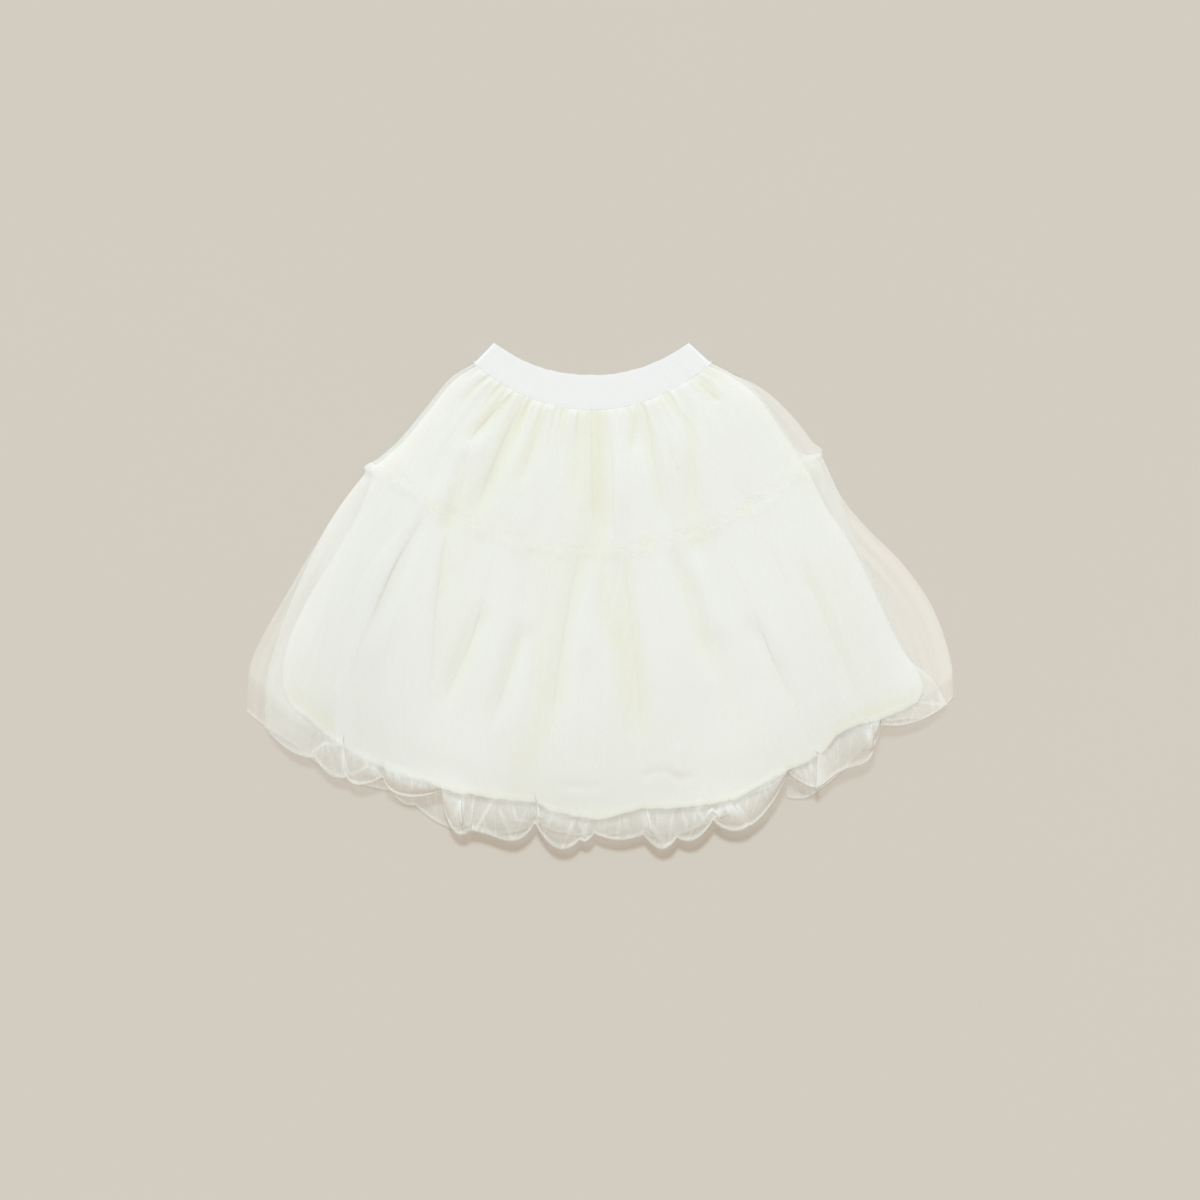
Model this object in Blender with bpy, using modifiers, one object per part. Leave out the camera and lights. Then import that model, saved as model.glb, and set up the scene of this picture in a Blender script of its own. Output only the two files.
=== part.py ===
"""Girl's balloon-hem tulle skirt, laid out flat on its back.

An elastic waistband carries an opaque lining skirt and, over it, two gathered tiers of
tulle.  The lower tier is longer than the lining: it turns under past the lining's hem and
comes back up to it, which makes the puffs along the bottom edge.  The front panels lie on
the back panels, and the back panels lie flat on the surface.

+X is the wearer's left as seen from above, +Y points to the waist and +Z is up.  The origin
is at the middle of the outline, on the surface.  All sizes below are in millimetres.
"""
import math
from collections import namedtuple

import bmesh
import bpy

COLLECTION_NAME = "tulle_skirt"
MILLIMETRE = 0.001

# Cloth walls and the room left between pieces.
CLOTH_WALL = 1.0
ELASTIC_WALL = 1.5
SEAM_GAP = 0.3
WAIST_SEAM_GAP = 0.6

# Heights of the stacked layers where they are pressed together at the waist.
BACK_LINING_TOP = 2 * CLOTH_WALL + SEAM_GAP
FRONT_LINING_EDGE_TOP = BACK_LINING_TOP + SEAM_GAP + CLOTH_WALL
WAIST_TOP = FRONT_LINING_EDGE_TOP + SEAM_GAP + CLOTH_WALL

# Where the seams lie, as a share of the way from the waist to the bottom edge.
TIER_SEAM = 0.326
LINING_HEM = 0.92
SEAM_SHARE = 0.5 * SEAM_GAP / 240.0

# The gathers: waves of cloth at each seam, and how far down the skirt they fade out.
COLUMNS_PER_GATHER = 4
GATHERS = 24
WAIST_GATHER_HEIGHT = 1.5
WAIST_GATHER_FADE = 0.07
TIER_GATHER_HEIGHT = 1.7
TIER_GATHER_FADE = 0.045
HEM_GATHER_HEIGHT = 1.4

# The puffs at the hem.
PUFF_LIFT = 5.0
FULL_BULGE = 10.0
TURN_RADIUS = 3.2
CORNER_TURN_RADIUS = 1.3
CORNER_SHARE = 0.14
CORNER_TURN_BOTTOM = CLOTH_WALL + SEAM_GAP
TURN_BOTTOM = 4.7
BACK_CURL_RADIUS = 2.2
BACK_CURL_FULL = 150.0
BACK_CURL_CORNER = 20.0
SHORTEST_RETURN = 0.8

# How quickly the front comes down to the back panel at the sides, and how the columns
# of a panel crowd together there.
SIDE_POWER = 10
COLUMN_CROWDING = 0.15

# One row for each cross line of the skirt, from the waist down: both ends, the middle,
# how round each half is, how far the lining stays inside the tulle, and the heights.
Section = namedtuple("Section", "down left_x left_y right_x right_y centre_y left_round right_round "
                                "lining_left lining_right side_top tulle_top lining_top")
SECTIONS = [
    Section(0.000, -108.4, 199.5, 95.8, 199.5, 160.0, 2.10, 2.00, 3.0, 3.0, 4.9, 4.9, 3.6),
    Section(0.080, -129.0, 186.5, 116.5, 190.0, 130.3, 2.10, 2.05, 3.0, 4.0, 3.4, 8.5, 6.5),
    Section(0.160, -150.0, 161.0, 145.0, 177.0, 100.6, 2.10, 2.10, 3.5, 8.5, 2.6, 11.0, 9.0),
    Section(0.245, -172.0, 134.5, 171.0, 151.0, 69.0, 2.10, 2.10, 4.5, 13.0, 2.4, 12.6, 10.0),
    Section(0.326, -193.0, 115.0, 189.5, 121.5, 38.9, 2.10, 2.15, 7.5, 14.0, 2.4, 12.9, 10.6),
    Section(0.450, -219.0, 83.5, 207.0, 86.0, -7.2, 2.15, 2.20, 12.0, 12.0, 2.4, 15.0, 12.0),
    Section(0.580, -242.0, 48.0, 230.0, 58.0, -55.5, 2.20, 2.25, 13.5, 13.5, 2.4, 17.0, 13.0),
    Section(0.710, -266.0, 7.5, 261.5, 26.0, -103.8, 2.20, 2.25, 13.5, 18.5, 2.4, 17.5, 12.5),
    Section(0.830, -288.0, -31.0, 287.0, -12.0, -148.3, 2.15, 2.20, 18.0, 26.0, 2.4, 16.5, 9.5),
    Section(0.920, -301.0, -61.0, 301.5, -55.0, -181.8, 2.15, 2.10, 27.5, 28.0, 2.9, 14.0, 5.7),
    Section(1.000, -303.5, -97.0, 303.5, -86.0, -209.0, 2.00, 1.90, 27.5, 28.0, 3.9, 11.3, 5.7),
]

# The waistband's upper edge: its two ends, its middle and how round it is.
BAND_TOP_LEFT_X = -91.2
BAND_TOP_RIGHT_X = 76.5
BAND_TOP_END_Y = 217.6
BAND_TOP_CENTRE_Y = 189.8
BAND_TOP_ROUND = 2.2

# The puffs of the bottom edge, left to right: where each begins, how far the notch there
# lies past the last cross line, how far the puff hangs past its two notches, and where
# along it the deepest point is.
Puff = namedtuple("Puff", "start_x notch bulge deepest")
FRONT_PUFFS = [
    Puff(-303.5, 1.5, 5.0, 0.55), Puff(-245.0, 2.0, 5.5, 0.50), Puff(-178.0, -2.0, 6.5, 0.68),
    Puff(-112.5, 8.0, 12.0, 0.64), Puff(-56.0, -10.0, 16.5, 0.48), Puff(-5.0, -5.0, 4.5, 0.50),
    Puff(37.0, -1.0, 9.5, 0.66), Puff(66.5, 5.5, 4.5, 0.45), Puff(105.0, 8.0, 11.0, 0.48),
    Puff(153.0, 0.0, 4.5, 0.75), Puff(188.0, 8.0, 13.5, 0.72), Puff(239.0, -15.0, 2.5, 0.50),
    Puff(265.0, -3.5, 5.0, 0.50), Puff(303.5, 0.0, 0.0, 0.50),
]
BACK_PUFFS = [
    Puff(-303.5, 1.0, 3.0, 0.45), Puff(-262.0, 2.0, 4.0, 0.55), Puff(-205.0, 0.0, 6.0, 0.50),
    Puff(-150.0, -2.0, 7.5, 0.45), Puff(-88.0, 1.0, 5.0, 0.55), Puff(-30.0, -4.0, 7.0, 0.50),
    Puff(22.0, -3.0, 7.5, 0.45), Puff(84.0, 2.0, 8.5, 0.55), Puff(128.0, 0.0, 7.5, 0.50),
    Puff(172.0, -1.0, 7.0, 0.50), Puff(216.0, -7.0, 4.0, 0.45), Puff(252.0, -9.0, 6.0, 0.55),
    Puff(303.5, 0.0, 0.0, 0.50),
]

# The ends of the tier seam stand out a little at the sides.
SeamEnd = namedtuple("SeamEnd", "side down reach spread")
SEAM_ENDS = [SeamEnd(-1, 0.340, 6.5, 0.016), SeamEnd(1, 0.314, 4.5, 0.011)]
SEAM_END_FROM = 0.93

# The largest folds of the front, from one end to the other: valleys are negative, ridges
# positive, as a share of the height of the cloth there.
Fold = namedtuple("Fold", "from_x from_y to_x to_y from_width to_width depth")
FOLDS = [
    Fold(-75.0, 176.0, -111.0, 134.0, 5.0, 6.5, -0.40),
    Fold(-117.0, 121.0, -131.0, 53.0, 6.0, 7.0, -0.22),
    Fold(-64.0, 170.0, -106.0, 74.0, 6.0, 9.0, -0.38),
    Fold(-46.0, 164.0, -69.0, 99.0, 5.0, 7.0, -0.22),
    Fold(-20.0, 158.0, -22.0, 89.0, 5.0, 7.0, -0.18),
    Fold(1.0, 158.0, 4.0, 50.0, 7.0, 9.0, -0.30),
    Fold(17.0, 158.0, 20.0, 70.0, 5.0, 8.0, 0.16),
    Fold(31.0, 161.0, 27.0, 124.0, 4.5, 6.0, -0.22),
    Fold(41.0, 152.0, 56.0, 64.0, 5.0, 8.0, -0.20),
    Fold(78.0, 158.0, 82.0, 74.0, 5.0, 8.0, -0.18),
    Fold(88.0, 184.0, 101.0, 166.0, 4.5, 5.0, -0.25),
    Fold(-150.0, 70.0, -196.0, -30.0, 7.0, 11.0, -0.16),
    Fold(-131.0, 56.0, -144.0, -84.0, 7.0, 9.0, -0.24),
    Fold(-102.0, -16.0, -136.0, -92.0, 7.0, 8.0, -0.26),
    Fold(-66.0, -30.0, -92.0, -108.0, 8.0, 9.0, -0.20),
    Fold(-17.0, 36.0, -42.0, -118.0, 8.0, 12.0, -0.24),
    Fold(-6.0, 30.0, -14.0, -60.0, 7.0, 10.0, 0.12),
    Fold(19.0, 33.0, 36.0, -128.0, 8.0, 11.0, -0.24),
    Fold(64.0, 34.0, 100.0, -64.0, 7.0, 9.0, -0.20),
    Fold(84.0, 30.0, 106.0, -36.0, 6.0, 8.0, 0.12),
    Fold(132.0, -24.0, 168.0, -96.0, 7.0, 9.0, -0.20),
    Fold(173.0, 26.0, 222.0, -88.0, 7.0, 10.0, -0.20),
]


def smooth_column(column, down):
    """One column of SECTIONS at any share of the way down, as a smooth curve."""
    down = min(max(down, 0.0), 1.0)
    last = len(SECTIONS) - 1
    index = max(i for i in range(last) if SECTIONS[i].down <= down)
    places = [section.down for section in SECTIONS]
    values = [getattr(section, column) for section in SECTIONS]

    def slope(i):
        before, after = max(i - 1, 0), min(i + 1, last)
        return (values[after] - values[before]) / (places[after] - places[before])

    span = places[index + 1] - places[index]
    t = (down - places[index]) / span
    return ((1 + 2 * t) * (1 - t) ** 2 * values[index]
            + t * t * (3 - 2 * t) * values[index + 1]
            + t * (1 - t) ** 2 * span * slope(index)
            - t * t * (1 - t) * span * slope(index + 1))


def ease(t):
    """A smooth step from 0 to 1."""
    t = min(max(t, 0.0), 1.0)
    return t * t * (3 - 2 * t)


def arc_point(across, left, right, centre_y, left_round, right_round):
    """A point on a cross line that sags from its two ends to its middle."""
    x = 0.5 * (left[0] + right[0]) + 0.5 * across * (right[0] - left[0])
    chord_y = 0.5 * (left[1] + right[1]) + 0.5 * across * (right[1] - left[1])
    sag = 0.5 * (left[1] + right[1]) - centre_y
    roundness = left_round if across < 0 else right_round
    return x, chord_y - sag * (1 - abs(across) ** roundness)


def seam_end_reach(across, down):
    """How far the end of the tier seam pushes the side of the skirt outwards."""
    share = ease((abs(across) - SEAM_END_FROM) / (1 - SEAM_END_FROM))
    return sum(end.side * end.reach * share * math.exp(-((down - end.down) / end.spread) ** 2)
               for end in SEAM_ENDS if end.side * across > 0)


def skirt_point(across, down):
    """Plan position, from -1 to 1 across and from waist 0 to bottom edge 1 down."""
    left = smooth_column("left_x", down), smooth_column("left_y", down)
    right = smooth_column("right_x", down), smooth_column("right_y", down)
    x, y = arc_point(across, left, right, smooth_column("centre_y", down),
                     smooth_column("left_round", down), smooth_column("right_round", down))
    return x + seam_end_reach(across, down), y


def lining_across(across, down):
    """The tulle's share across at a share across the narrower lining."""
    width = smooth_column("right_x", down) - smooth_column("left_x", down)
    left = -1 + 2 * smooth_column("lining_left", down) / width
    right = 1 - 2 * smooth_column("lining_right", down) / width
    return left + 0.5 * (across + 1) * (right - left)


def side_envelope(across):
    """1 over the middle of the skirt, falling in a round shoulder to 0 at its sides."""
    return math.sqrt(max(0.0, 1 - abs(across) ** SIDE_POWER))


def fold_share(x, y):
    """The folds at a plan position, as a share of the height of the cloth."""
    total = 0.0
    for fold in FOLDS:
        run_x, run_y = fold.to_x - fold.from_x, fold.to_y - fold.from_y
        length = math.hypot(run_x, run_y)
        along = ((x - fold.from_x) * run_x + (y - fold.from_y) * run_y) / length ** 2
        aside = ((x - fold.from_x) * run_y - (y - fold.from_y) * run_x) / length
        width = fold.from_width + min(max(along, 0.0), 1.0) * (fold.to_width - fold.from_width)
        ends = ease((along + 0.15) / 0.3) * ease((1.15 - along) / 0.4)
        total += fold.depth * ends * math.exp(-(aside / width) ** 2)
    return max(total, -0.5)


def gather_wave(column_share):
    """The even waves of gathered cloth across the skirt, from 0 to 1."""
    return 0.5 + 0.5 * math.cos(math.pi * GATHERS * (column_share + 1))


def seam_gathers(column_share, down):
    """The height of the gathers at the waist seam and on both sides of the tier seam."""
    waist = WAIST_GATHER_HEIGHT * math.exp(-down / WAIST_GATHER_FADE) * ease(down / 0.012)
    tier = TIER_GATHER_HEIGHT * math.exp(-abs(down - TIER_SEAM) / TIER_GATHER_FADE)
    return gather_wave(column_share) * (waist + tier)


def front_lining_top(across, down):
    """Height of the front lining's upper face, at a share across the lining."""
    x, y = skirt_point(lining_across(across, down), down)
    rise = smooth_column("lining_top", down) - FRONT_LINING_EDGE_TOP
    return FRONT_LINING_EDGE_TOP + rise * side_envelope(across) * (1 + fold_share(x, y))


def front_tulle_top(across, down, column_share):
    """Height of the front tulle's upper face."""
    x, y = skirt_point(across, down)
    side_top = smooth_column("side_top", down)
    rise = smooth_column("lining_top", down) - FRONT_LINING_EDGE_TOP
    spare = smooth_column("tulle_top", down) - side_top - rise
    envelope = side_envelope(across)
    return (side_top + envelope * (spare + rise * (1 + fold_share(x, y)))
            + envelope * seam_gathers(column_share, down))


def puff_at(puffs, across):
    """At a share across: how far the notches and the puff between them reach."""
    first, final = puffs[0].start_x, puffs[-1].start_x
    x = 0.5 * (first + final) + 0.5 * across * (final - first)
    for puff, following in zip(puffs, puffs[1:]):
        if x <= following.start_x:
            share = max(0.0, (x - puff.start_x) / (following.start_x - puff.start_x))
            skew = math.log(0.5) / math.log(puff.deepest)
            notches = puff.notch + share * (following.notch - puff.notch)
            return notches, puff.bulge * math.sin(math.pi * share ** skew) ** 0.8
    return puffs[-1].notch, 0.0


def hem_line(puffs, across):
    """The bottom edge, and the lining's hem just above it, on one line down the skirt."""
    seam = skirt_point(across, LINING_HEM + SEAM_SHARE)
    base = skirt_point(across, 1.0)
    length = math.dist(seam, base)
    reach = sum(puff_at(puffs, across))
    edge = tuple(base[i] + reach * (base[i] - seam[i]) / length for i in range(2))
    return edge, seam, length + reach


def between(start, end, share):
    """The point at a share of the way between two plan points."""
    return tuple(start[i] + share * (end[i] - start[i]) for i in range(2))


def crowded(column_share):
    """The share across for a column, with the columns closer together at the sides."""
    return column_share * (1 + COLUMN_CROWDING * (1 - column_share ** 2))


def cloth_panel(name, columns, rows, place, thickness, outward, material):
    """A grid laid over the skirt by place(column_share, row), then given its wall."""
    mesh = bpy.data.meshes.new(name)
    shape = bmesh.new()
    bmesh.ops.create_grid(shape, x_segments=columns, y_segments=rows, size=1.0)
    for vertex in shape.verts:
        row = round(0.5 * (1 - vertex.co.y) * rows)
        point = place(vertex.co.x, row)
        vertex.co = [value * MILLIMETRE for value in point]
    shape.to_mesh(mesh)
    shape.free()
    return finish_piece(name, mesh, thickness, outward, material)


def finish_piece(name, mesh, thickness, outward, material):
    """Solidify an open surface into a cloth wall and shade it smooth."""
    mesh.materials.append(material)
    mesh.shade_smooth()
    piece = bpy.data.objects.new(name, mesh)
    bpy.data.collections[COLLECTION_NAME].objects.link(piece)
    wall = piece.modifiers.new("wall", "SOLIDIFY")
    wall.thickness = thickness * MILLIMETRE
    wall.offset = 1.0 if outward else -1.0
    wall.use_even_offset = False
    return piece


def fabric(name, colour, roughness):
    """A plain cloth material."""
    material = bpy.data.materials.new(name)
    material.use_nodes = True
    shader = material.node_tree.nodes["Principled BSDF"]
    shader.inputs["Base Color"].default_value = (*colour, 1.0)
    shader.inputs["Roughness"].default_value = roughness
    shader.inputs["Metallic"].default_value = 0.0
    material.diffuse_color = (*colour, 1.0)
    return material


def make_waistband(material):
    """The elastic: one loop of flat tape, pressed flat so its front lies on its back."""
    half_height = 0.5 * WAIST_TOP
    run_segments, turn_segments = 30, 6
    segments = 2 * (run_segments + turn_segments)
    waist = SECTIONS[0]
    turn = 2 * half_height / (waist.right_x - waist.left_x)

    def loop_place(step):
        """Share across and height at one step round the flattened loop."""
        if step <= run_segments:
            return (1 - turn) * (2 * step / run_segments - 1), WAIST_TOP
        if step <= run_segments + turn_segments:
            angle = math.pi * (step - run_segments) / turn_segments
            return 1 - turn + turn * math.sin(angle), half_height * (1 + math.cos(angle))
        if step <= 2 * run_segments + turn_segments:
            return (1 - turn) * (1 - 2 * (step - run_segments - turn_segments) / run_segments), 0.0
        angle = math.pi * (step - 2 * run_segments - turn_segments) / turn_segments
        return turn - 1 - turn * math.sin(angle), half_height * (1 - math.cos(angle))

    def edge_point(across, upper):
        if upper:
            return arc_point(across, (BAND_TOP_LEFT_X, BAND_TOP_END_Y),
                             (BAND_TOP_RIGHT_X, BAND_TOP_END_Y),
                             BAND_TOP_CENTRE_Y, BAND_TOP_ROUND, BAND_TOP_ROUND)
        return arc_point(across, (waist.left_x, waist.left_y + WAIST_SEAM_GAP),
                         (waist.right_x, waist.right_y + WAIST_SEAM_GAP),
                         waist.centre_y + WAIST_SEAM_GAP, waist.left_round, waist.right_round)

    mesh = bpy.data.meshes.new("waistband")
    shape = bmesh.new()
    bmesh.ops.create_cone(shape, cap_ends=False, segments=segments, radius1=1.0, radius2=1.0,
                          depth=2.0)
    for vertex in shape.verts:
        upper = vertex.co.z > 0
        angle = math.atan2(vertex.co.y, vertex.co.x) % (2 * math.pi)
        step = round(angle / (2 * math.pi) * segments) % segments
        across, height = loop_place(step)
        x, y = edge_point(across, upper)
        vertex.co = [x * MILLIMETRE, y * MILLIMETRE, height * MILLIMETRE]
    shape.to_mesh(mesh)
    shape.free()
    return finish_piece("waistband", mesh, ELASTIC_WALL, False, material)


def make_upper_tier(front, material):
    """A gathered tulle panel from the waist seam to the tier seam."""
    last = TIER_SEAM - SEAM_SHARE
    downs = [0.0, 0.03, 0.08, 0.15, 0.23, 0.29, last] if front else [0.0, 0.1, 0.22, last]
    columns = GATHERS * COLUMNS_PER_GATHER if front else 28

    def place(column_share, row):
        across, down = crowded(column_share), downs[row]
        x, y = skirt_point(across, down)
        height = front_tulle_top(across, down, column_share) if front else 0.0
        return x, y, height

    name = "tulle_upper_front" if front else "tulle_upper_back"
    return cloth_panel(name, columns, len(downs) - 1, place, CLOTH_WALL, not front, material)


def make_lining(front, material):
    """An opaque panel from the waist seam to the lining's hem."""
    last = LINING_HEM - SEAM_SHARE
    downs = [0.0, 0.07, 0.15, 0.26, 0.4, 0.55, 0.7, 0.83, last] if front \
        else [0.0, 0.12, 0.3, 0.5, 0.7, last]
    columns = 54 if front else 28

    def place(column_share, row):
        across, down = crowded(column_share), downs[row]
        x, y = skirt_point(lining_across(across, down), down)
        height = front_lining_top(across, down) if front else BACK_LINING_TOP
        return x, y, height

    name = "lining_front" if front else "lining_back"
    return cloth_panel(name, columns, len(downs) - 1, place, CLOTH_WALL, False, material)


def make_lower_front(material):
    """The front's lower tier: down to the puffs, round them, and back to the lining."""
    top_downs = [TIER_SEAM + SEAM_SHARE, 0.345, 0.38, 0.45, 0.54, 0.64, 0.75, 0.85]
    puff_shares = [0.0, 0.3, 0.6]
    turn_angles = [0, 45, 90, 135, 180]
    return_shares = [0.5, 1.0]
    rows = len(top_downs) + len(puff_shares) + len(turn_angles) + len(return_shares) - 1

    def place(column_share, row):
        across = crowded(column_share)
        if row < len(top_downs):
            down = top_downs[row]
            x, y = skirt_point(across, down)
            return x, y, front_tulle_top(across, down, column_share)

        row -= len(top_downs)
        edge, seam, length = hem_line(FRONT_PUFFS, across)
        openness = ease((1 - abs(across)) / CORNER_SHARE)
        radius = min(CORNER_TURN_RADIUS + openness * (TURN_RADIUS - CORNER_TURN_RADIUS),
                     0.3 * length)
        lift = PUFF_LIFT * min(1.0, puff_at(FRONT_PUFFS, across)[1] / FULL_BULGE)

        def top_at(share):
            down = LINING_HEM + share * (1 - LINING_HEM)
            puffed = lift * math.sin(math.pi * min(1.0, share + 0.1))
            creased = HEM_GATHER_HEIGHT * gather_wave(column_share) * (1 - share)
            return front_tulle_top(across, down, column_share) + openness * (puffed + creased)

        if row < len(puff_shares):
            share = puff_shares[row]
            x, y = between(seam, edge, share)
            return x, y, top_at(share)

        row -= len(puff_shares)
        turn_top = top_at(1.0)
        turn_bottom = CORNER_TURN_BOTTOM + openness * (TURN_BOTTOM - CORNER_TURN_BOTTOM)
        if row < len(turn_angles):
            angle = math.radians(turn_angles[row])
            inset = radius * (1 - math.sin(angle))
            x, y = between(edge, seam, inset / length)
            middle = 0.5 * (turn_top + turn_bottom)
            return x, y, middle + 0.5 * (turn_top - turn_bottom) * math.cos(angle)

        row -= len(turn_angles)
        full = length - radius
        reach = SHORTEST_RETURN + openness * (full - SHORTEST_RETURN)
        inset = radius + reach * return_shares[row]
        x, y = between(edge, seam, inset / length)
        return x, y, turn_bottom

    return cloth_panel("tulle_lower_front", GATHERS * COLUMNS_PER_GATHER, rows, place,
                       CLOTH_WALL, False, material)


def make_lower_back(material):
    """The back's lower tier: flat on the surface, its puffed edge curling up."""
    flat_downs = [TIER_SEAM + SEAM_SHARE, 0.36, 0.48, 0.62, 0.76, 0.88]
    curl_shares = [0.0, 0.33, 0.67, 1.0]
    rows = len(flat_downs) + len(curl_shares) - 1

    def place(column_share, row):
        across = crowded(column_share)
        if row < len(flat_downs):
            x, y = skirt_point(across, flat_downs[row])
            return x, y, 0.0
        edge, seam, length = hem_line(BACK_PUFFS, across)
        openness = ease((1 - abs(across)) / CORNER_SHARE)
        curl = BACK_CURL_CORNER + openness * (BACK_CURL_FULL - BACK_CURL_CORNER)
        angle = math.radians(curl * curl_shares[row - len(flat_downs)])
        inset = BACK_CURL_RADIUS * (1 - math.sin(angle))
        x, y = between(edge, seam, inset / length)
        return x, y, BACK_CURL_RADIUS * (1 - math.cos(angle))

    return cloth_panel("tulle_lower_back", 54, rows, place, CLOTH_WALL, True, material)


def clear_scene():
    """Take out whatever the file opened with."""
    for item in list(bpy.data.objects):
        bpy.data.objects.remove(item)


def main():
    clear_scene()
    collection = bpy.data.collections.new(COLLECTION_NAME)
    bpy.context.scene.collection.children.link(collection)
    tulle = fabric("ivory_tulle", (0.80, 0.80, 0.74), 0.85)
    lining = fabric("ivory_lining", (0.86, 0.88, 0.80), 0.60)
    elastic = fabric("white_elastic", (0.87, 0.88, 0.90), 0.75)

    make_waistband(elastic)
    for front in (True, False):
        make_lining(front, lining)
        make_upper_tier(front, tulle)
    make_lower_front(tulle)
    make_lower_back(tulle)


main()
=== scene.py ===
# Girl's balloon-hem tulle skirt, laid flat on its back: the finished looks.
import math

import bpy
import numpy as np
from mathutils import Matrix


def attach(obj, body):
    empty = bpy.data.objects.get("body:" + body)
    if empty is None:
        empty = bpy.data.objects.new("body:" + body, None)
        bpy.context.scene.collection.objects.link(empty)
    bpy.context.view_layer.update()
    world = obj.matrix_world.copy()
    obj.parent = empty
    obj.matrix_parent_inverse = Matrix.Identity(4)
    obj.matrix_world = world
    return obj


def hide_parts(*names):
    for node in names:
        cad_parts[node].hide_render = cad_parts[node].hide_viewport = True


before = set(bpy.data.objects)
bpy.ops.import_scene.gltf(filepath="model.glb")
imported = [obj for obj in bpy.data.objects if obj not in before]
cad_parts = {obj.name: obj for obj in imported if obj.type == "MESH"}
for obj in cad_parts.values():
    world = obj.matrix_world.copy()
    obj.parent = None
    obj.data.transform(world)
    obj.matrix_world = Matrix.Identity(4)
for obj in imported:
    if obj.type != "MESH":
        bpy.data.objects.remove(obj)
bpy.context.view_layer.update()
print("frame loaded:", len(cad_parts), "nodes")

mm = 0.001

# The cut and its form, in millimetres.
seams = {
    "tier": 0.326,          # share of the way from the waist to the bottom edge
    "hem": 0.92,            # where the lining ends
    "gap": 0.3,             # between the lining's hem and the net sewn back to it
    "tierGap": 0.02,        # between the two tiers
    "clearance": 0.85,      # from the lining up to the net that lies on it
    "skirtLength": 240.0,   # what the whole way down counts as at the seams
    "hemLength": 345.0,     # and for measures along the lining's hem
    "hemHalfWidth": 270.0,  # from its middle to a corner
}
hemGap = 0.5 * seams["gap"] / seams["skirtLength"]
tierGap = 0.5 * seams["tierGap"] / seams["skirtLength"]
upperEnd, lowerStart = seams["tier"] - tierGap, seams["tier"] + tierGap

# One row for each cross line of the skirt, waist first: both ends, the middle, how round each
# half is, how far the lining stays inside the tulle, and the heights of the cloth.
sectionColumns = ("down leftX leftY rightX rightY centreY leftRound rightRound "
                  "liningLeft liningRight sideTop tulleTop liningTop").split()
sections = np.array([
    (0, -108.4, 199.5, 95.8, 199.5, 160, 2.1, 2, 2.5, 2.5, 4.9, 4.9, 4.6),
    (0.08, -129, 186.5, 116.5, 190, 130.3, 2.1, 2.05, 2.5, 2.5, 2.4, 8.5, 6.5),
    (0.16, -150, 161, 142, 176.5, 100.6, 2.1, 2.1, 2.5, 6, 1.6, 11, 9),
    (0.245, -172, 134.5, 168, 151.5, 69, 2.1, 2.1, 2.5, 11, 1.5, 12.6, 10),
    (0.326, -193, 115, 189.5, 121.5, 38.9, 2.1, 2.15, 3, 12.5, 1.5, 12.9, 10.6),
    (0.45, -219, 83.5, 207, 86, -7.2, 2.15, 2.2, 12, 11.5, 1.5, 15, 12),
    (0.58, -242, 48, 230, 58, -55.5, 2.2, 2.25, 13.5, 13.5, 1.5, 17, 13),
    (0.71, -266, 7.5, 261.5, 26, -103.8, 2.2, 2.25, 13.5, 24, 1.5, 17.5, 12.5),
    (0.83, -288, -31, 287, -12, -148.3, 2.15, 2.2, 18, 30, 1.6, 16.5, 9.5),
    (0.92, -301, -61, 301.5, -55, -181.8, 2.15, 2.1, 27.5, 24, 2.4, 14, 5.7),
    (1, -303.5, -97, 303.5, -86, -209, 2, 1.9, 27.5, 24, 3.4, 11.3, 5.7),
])

# The ends of the tier seam stand out a little at the sides: side, down, reach, spread.
seamEnds = [(-1, 0.340, 6.5, 0.016), (1, 0.314, 4.5, 0.011)]

# The puffs along the bottom edge: where each begins, how far the notch there lies past the last
# cross line, how far the puff hangs past its notches, and where along it the deepest point is.
frontPuffs = [
    (-303.5, 2.5, 1.5, 0.5), (-286, 4.5, 6, 0.5), (-245, 2.5, 6, 0.5), (-217, 3.5, 6.5, 0.35),
    (-186, -12.5, 12, 0.32), (-137, -20, 18, 0.42), (-112.5, 7, 12.5, 0.7), (-56, -11, 14, 0.5),
    (-17.5, 0.5, 4, 0.5), (-5, -5, 4.5, 0.5), (37, -1, 11, 0.55), (66, 6, 9, 0.5), (97, -1, 24, 0.5),
    (161.5, -18.5, 2, 0.5), (187, 8, 18, 0.8), (241, -17, 1, 0.6), (265, -3, 2.5, 0.5),
    (303.5, 3.5, 0, 0.5),
]
backPuffs = [
    (-303.5, 2, 1.5, 0.45), (-262, 2, 4, 0.5), (-205, 3, 0.5, 0.5), (-178, -4.5, 5.5, 0.4),
    (-159, 0, 2, 0.5), (-133, 8.5, 3.5, 0.5), (-112, 1, 4.5, 0.5), (-70, -2, 2, 0.5),
    (-55, -13, 3, 0.5), (-30, -5, 3, 0.5), (-4, -7, 3, 0.5), (12, -5, 4, 0.5), (38, -4, 4, 0.5),
    (52, 0, 5, 0.45), (100, -3, 5, 0.5), (129.5, -14, 3, 0.5), (159.5, -17, 0.5, 0.5),
    (161, 3, 3.5, 0.6), (187, 8.5, 2, 0.5), (226, -6, 2, 0.5), (243, -20, 0.5, 0.5), (265, -8, 6, 0.5),
    (303.5, 1, 0, 0.5),
]

# How far the lining's hem hangs past its cross line, from left to right.
hemDrops = [
    (-248, 3), (-223, 7), (-193, 6.5), (-160, 3), (-124, 3), (-100, 0.5), (-58, -2.5), (-45, 2),
    (-24, 6), (0, 8.5), (35, 2), (60, 4.5), (84, 7.5), (115, 10), (139, 5), (165, 1.5), (190, 1),
    (205, -6), (218, -5), (238, 2), (254, 6), (268, 9),
]

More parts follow.
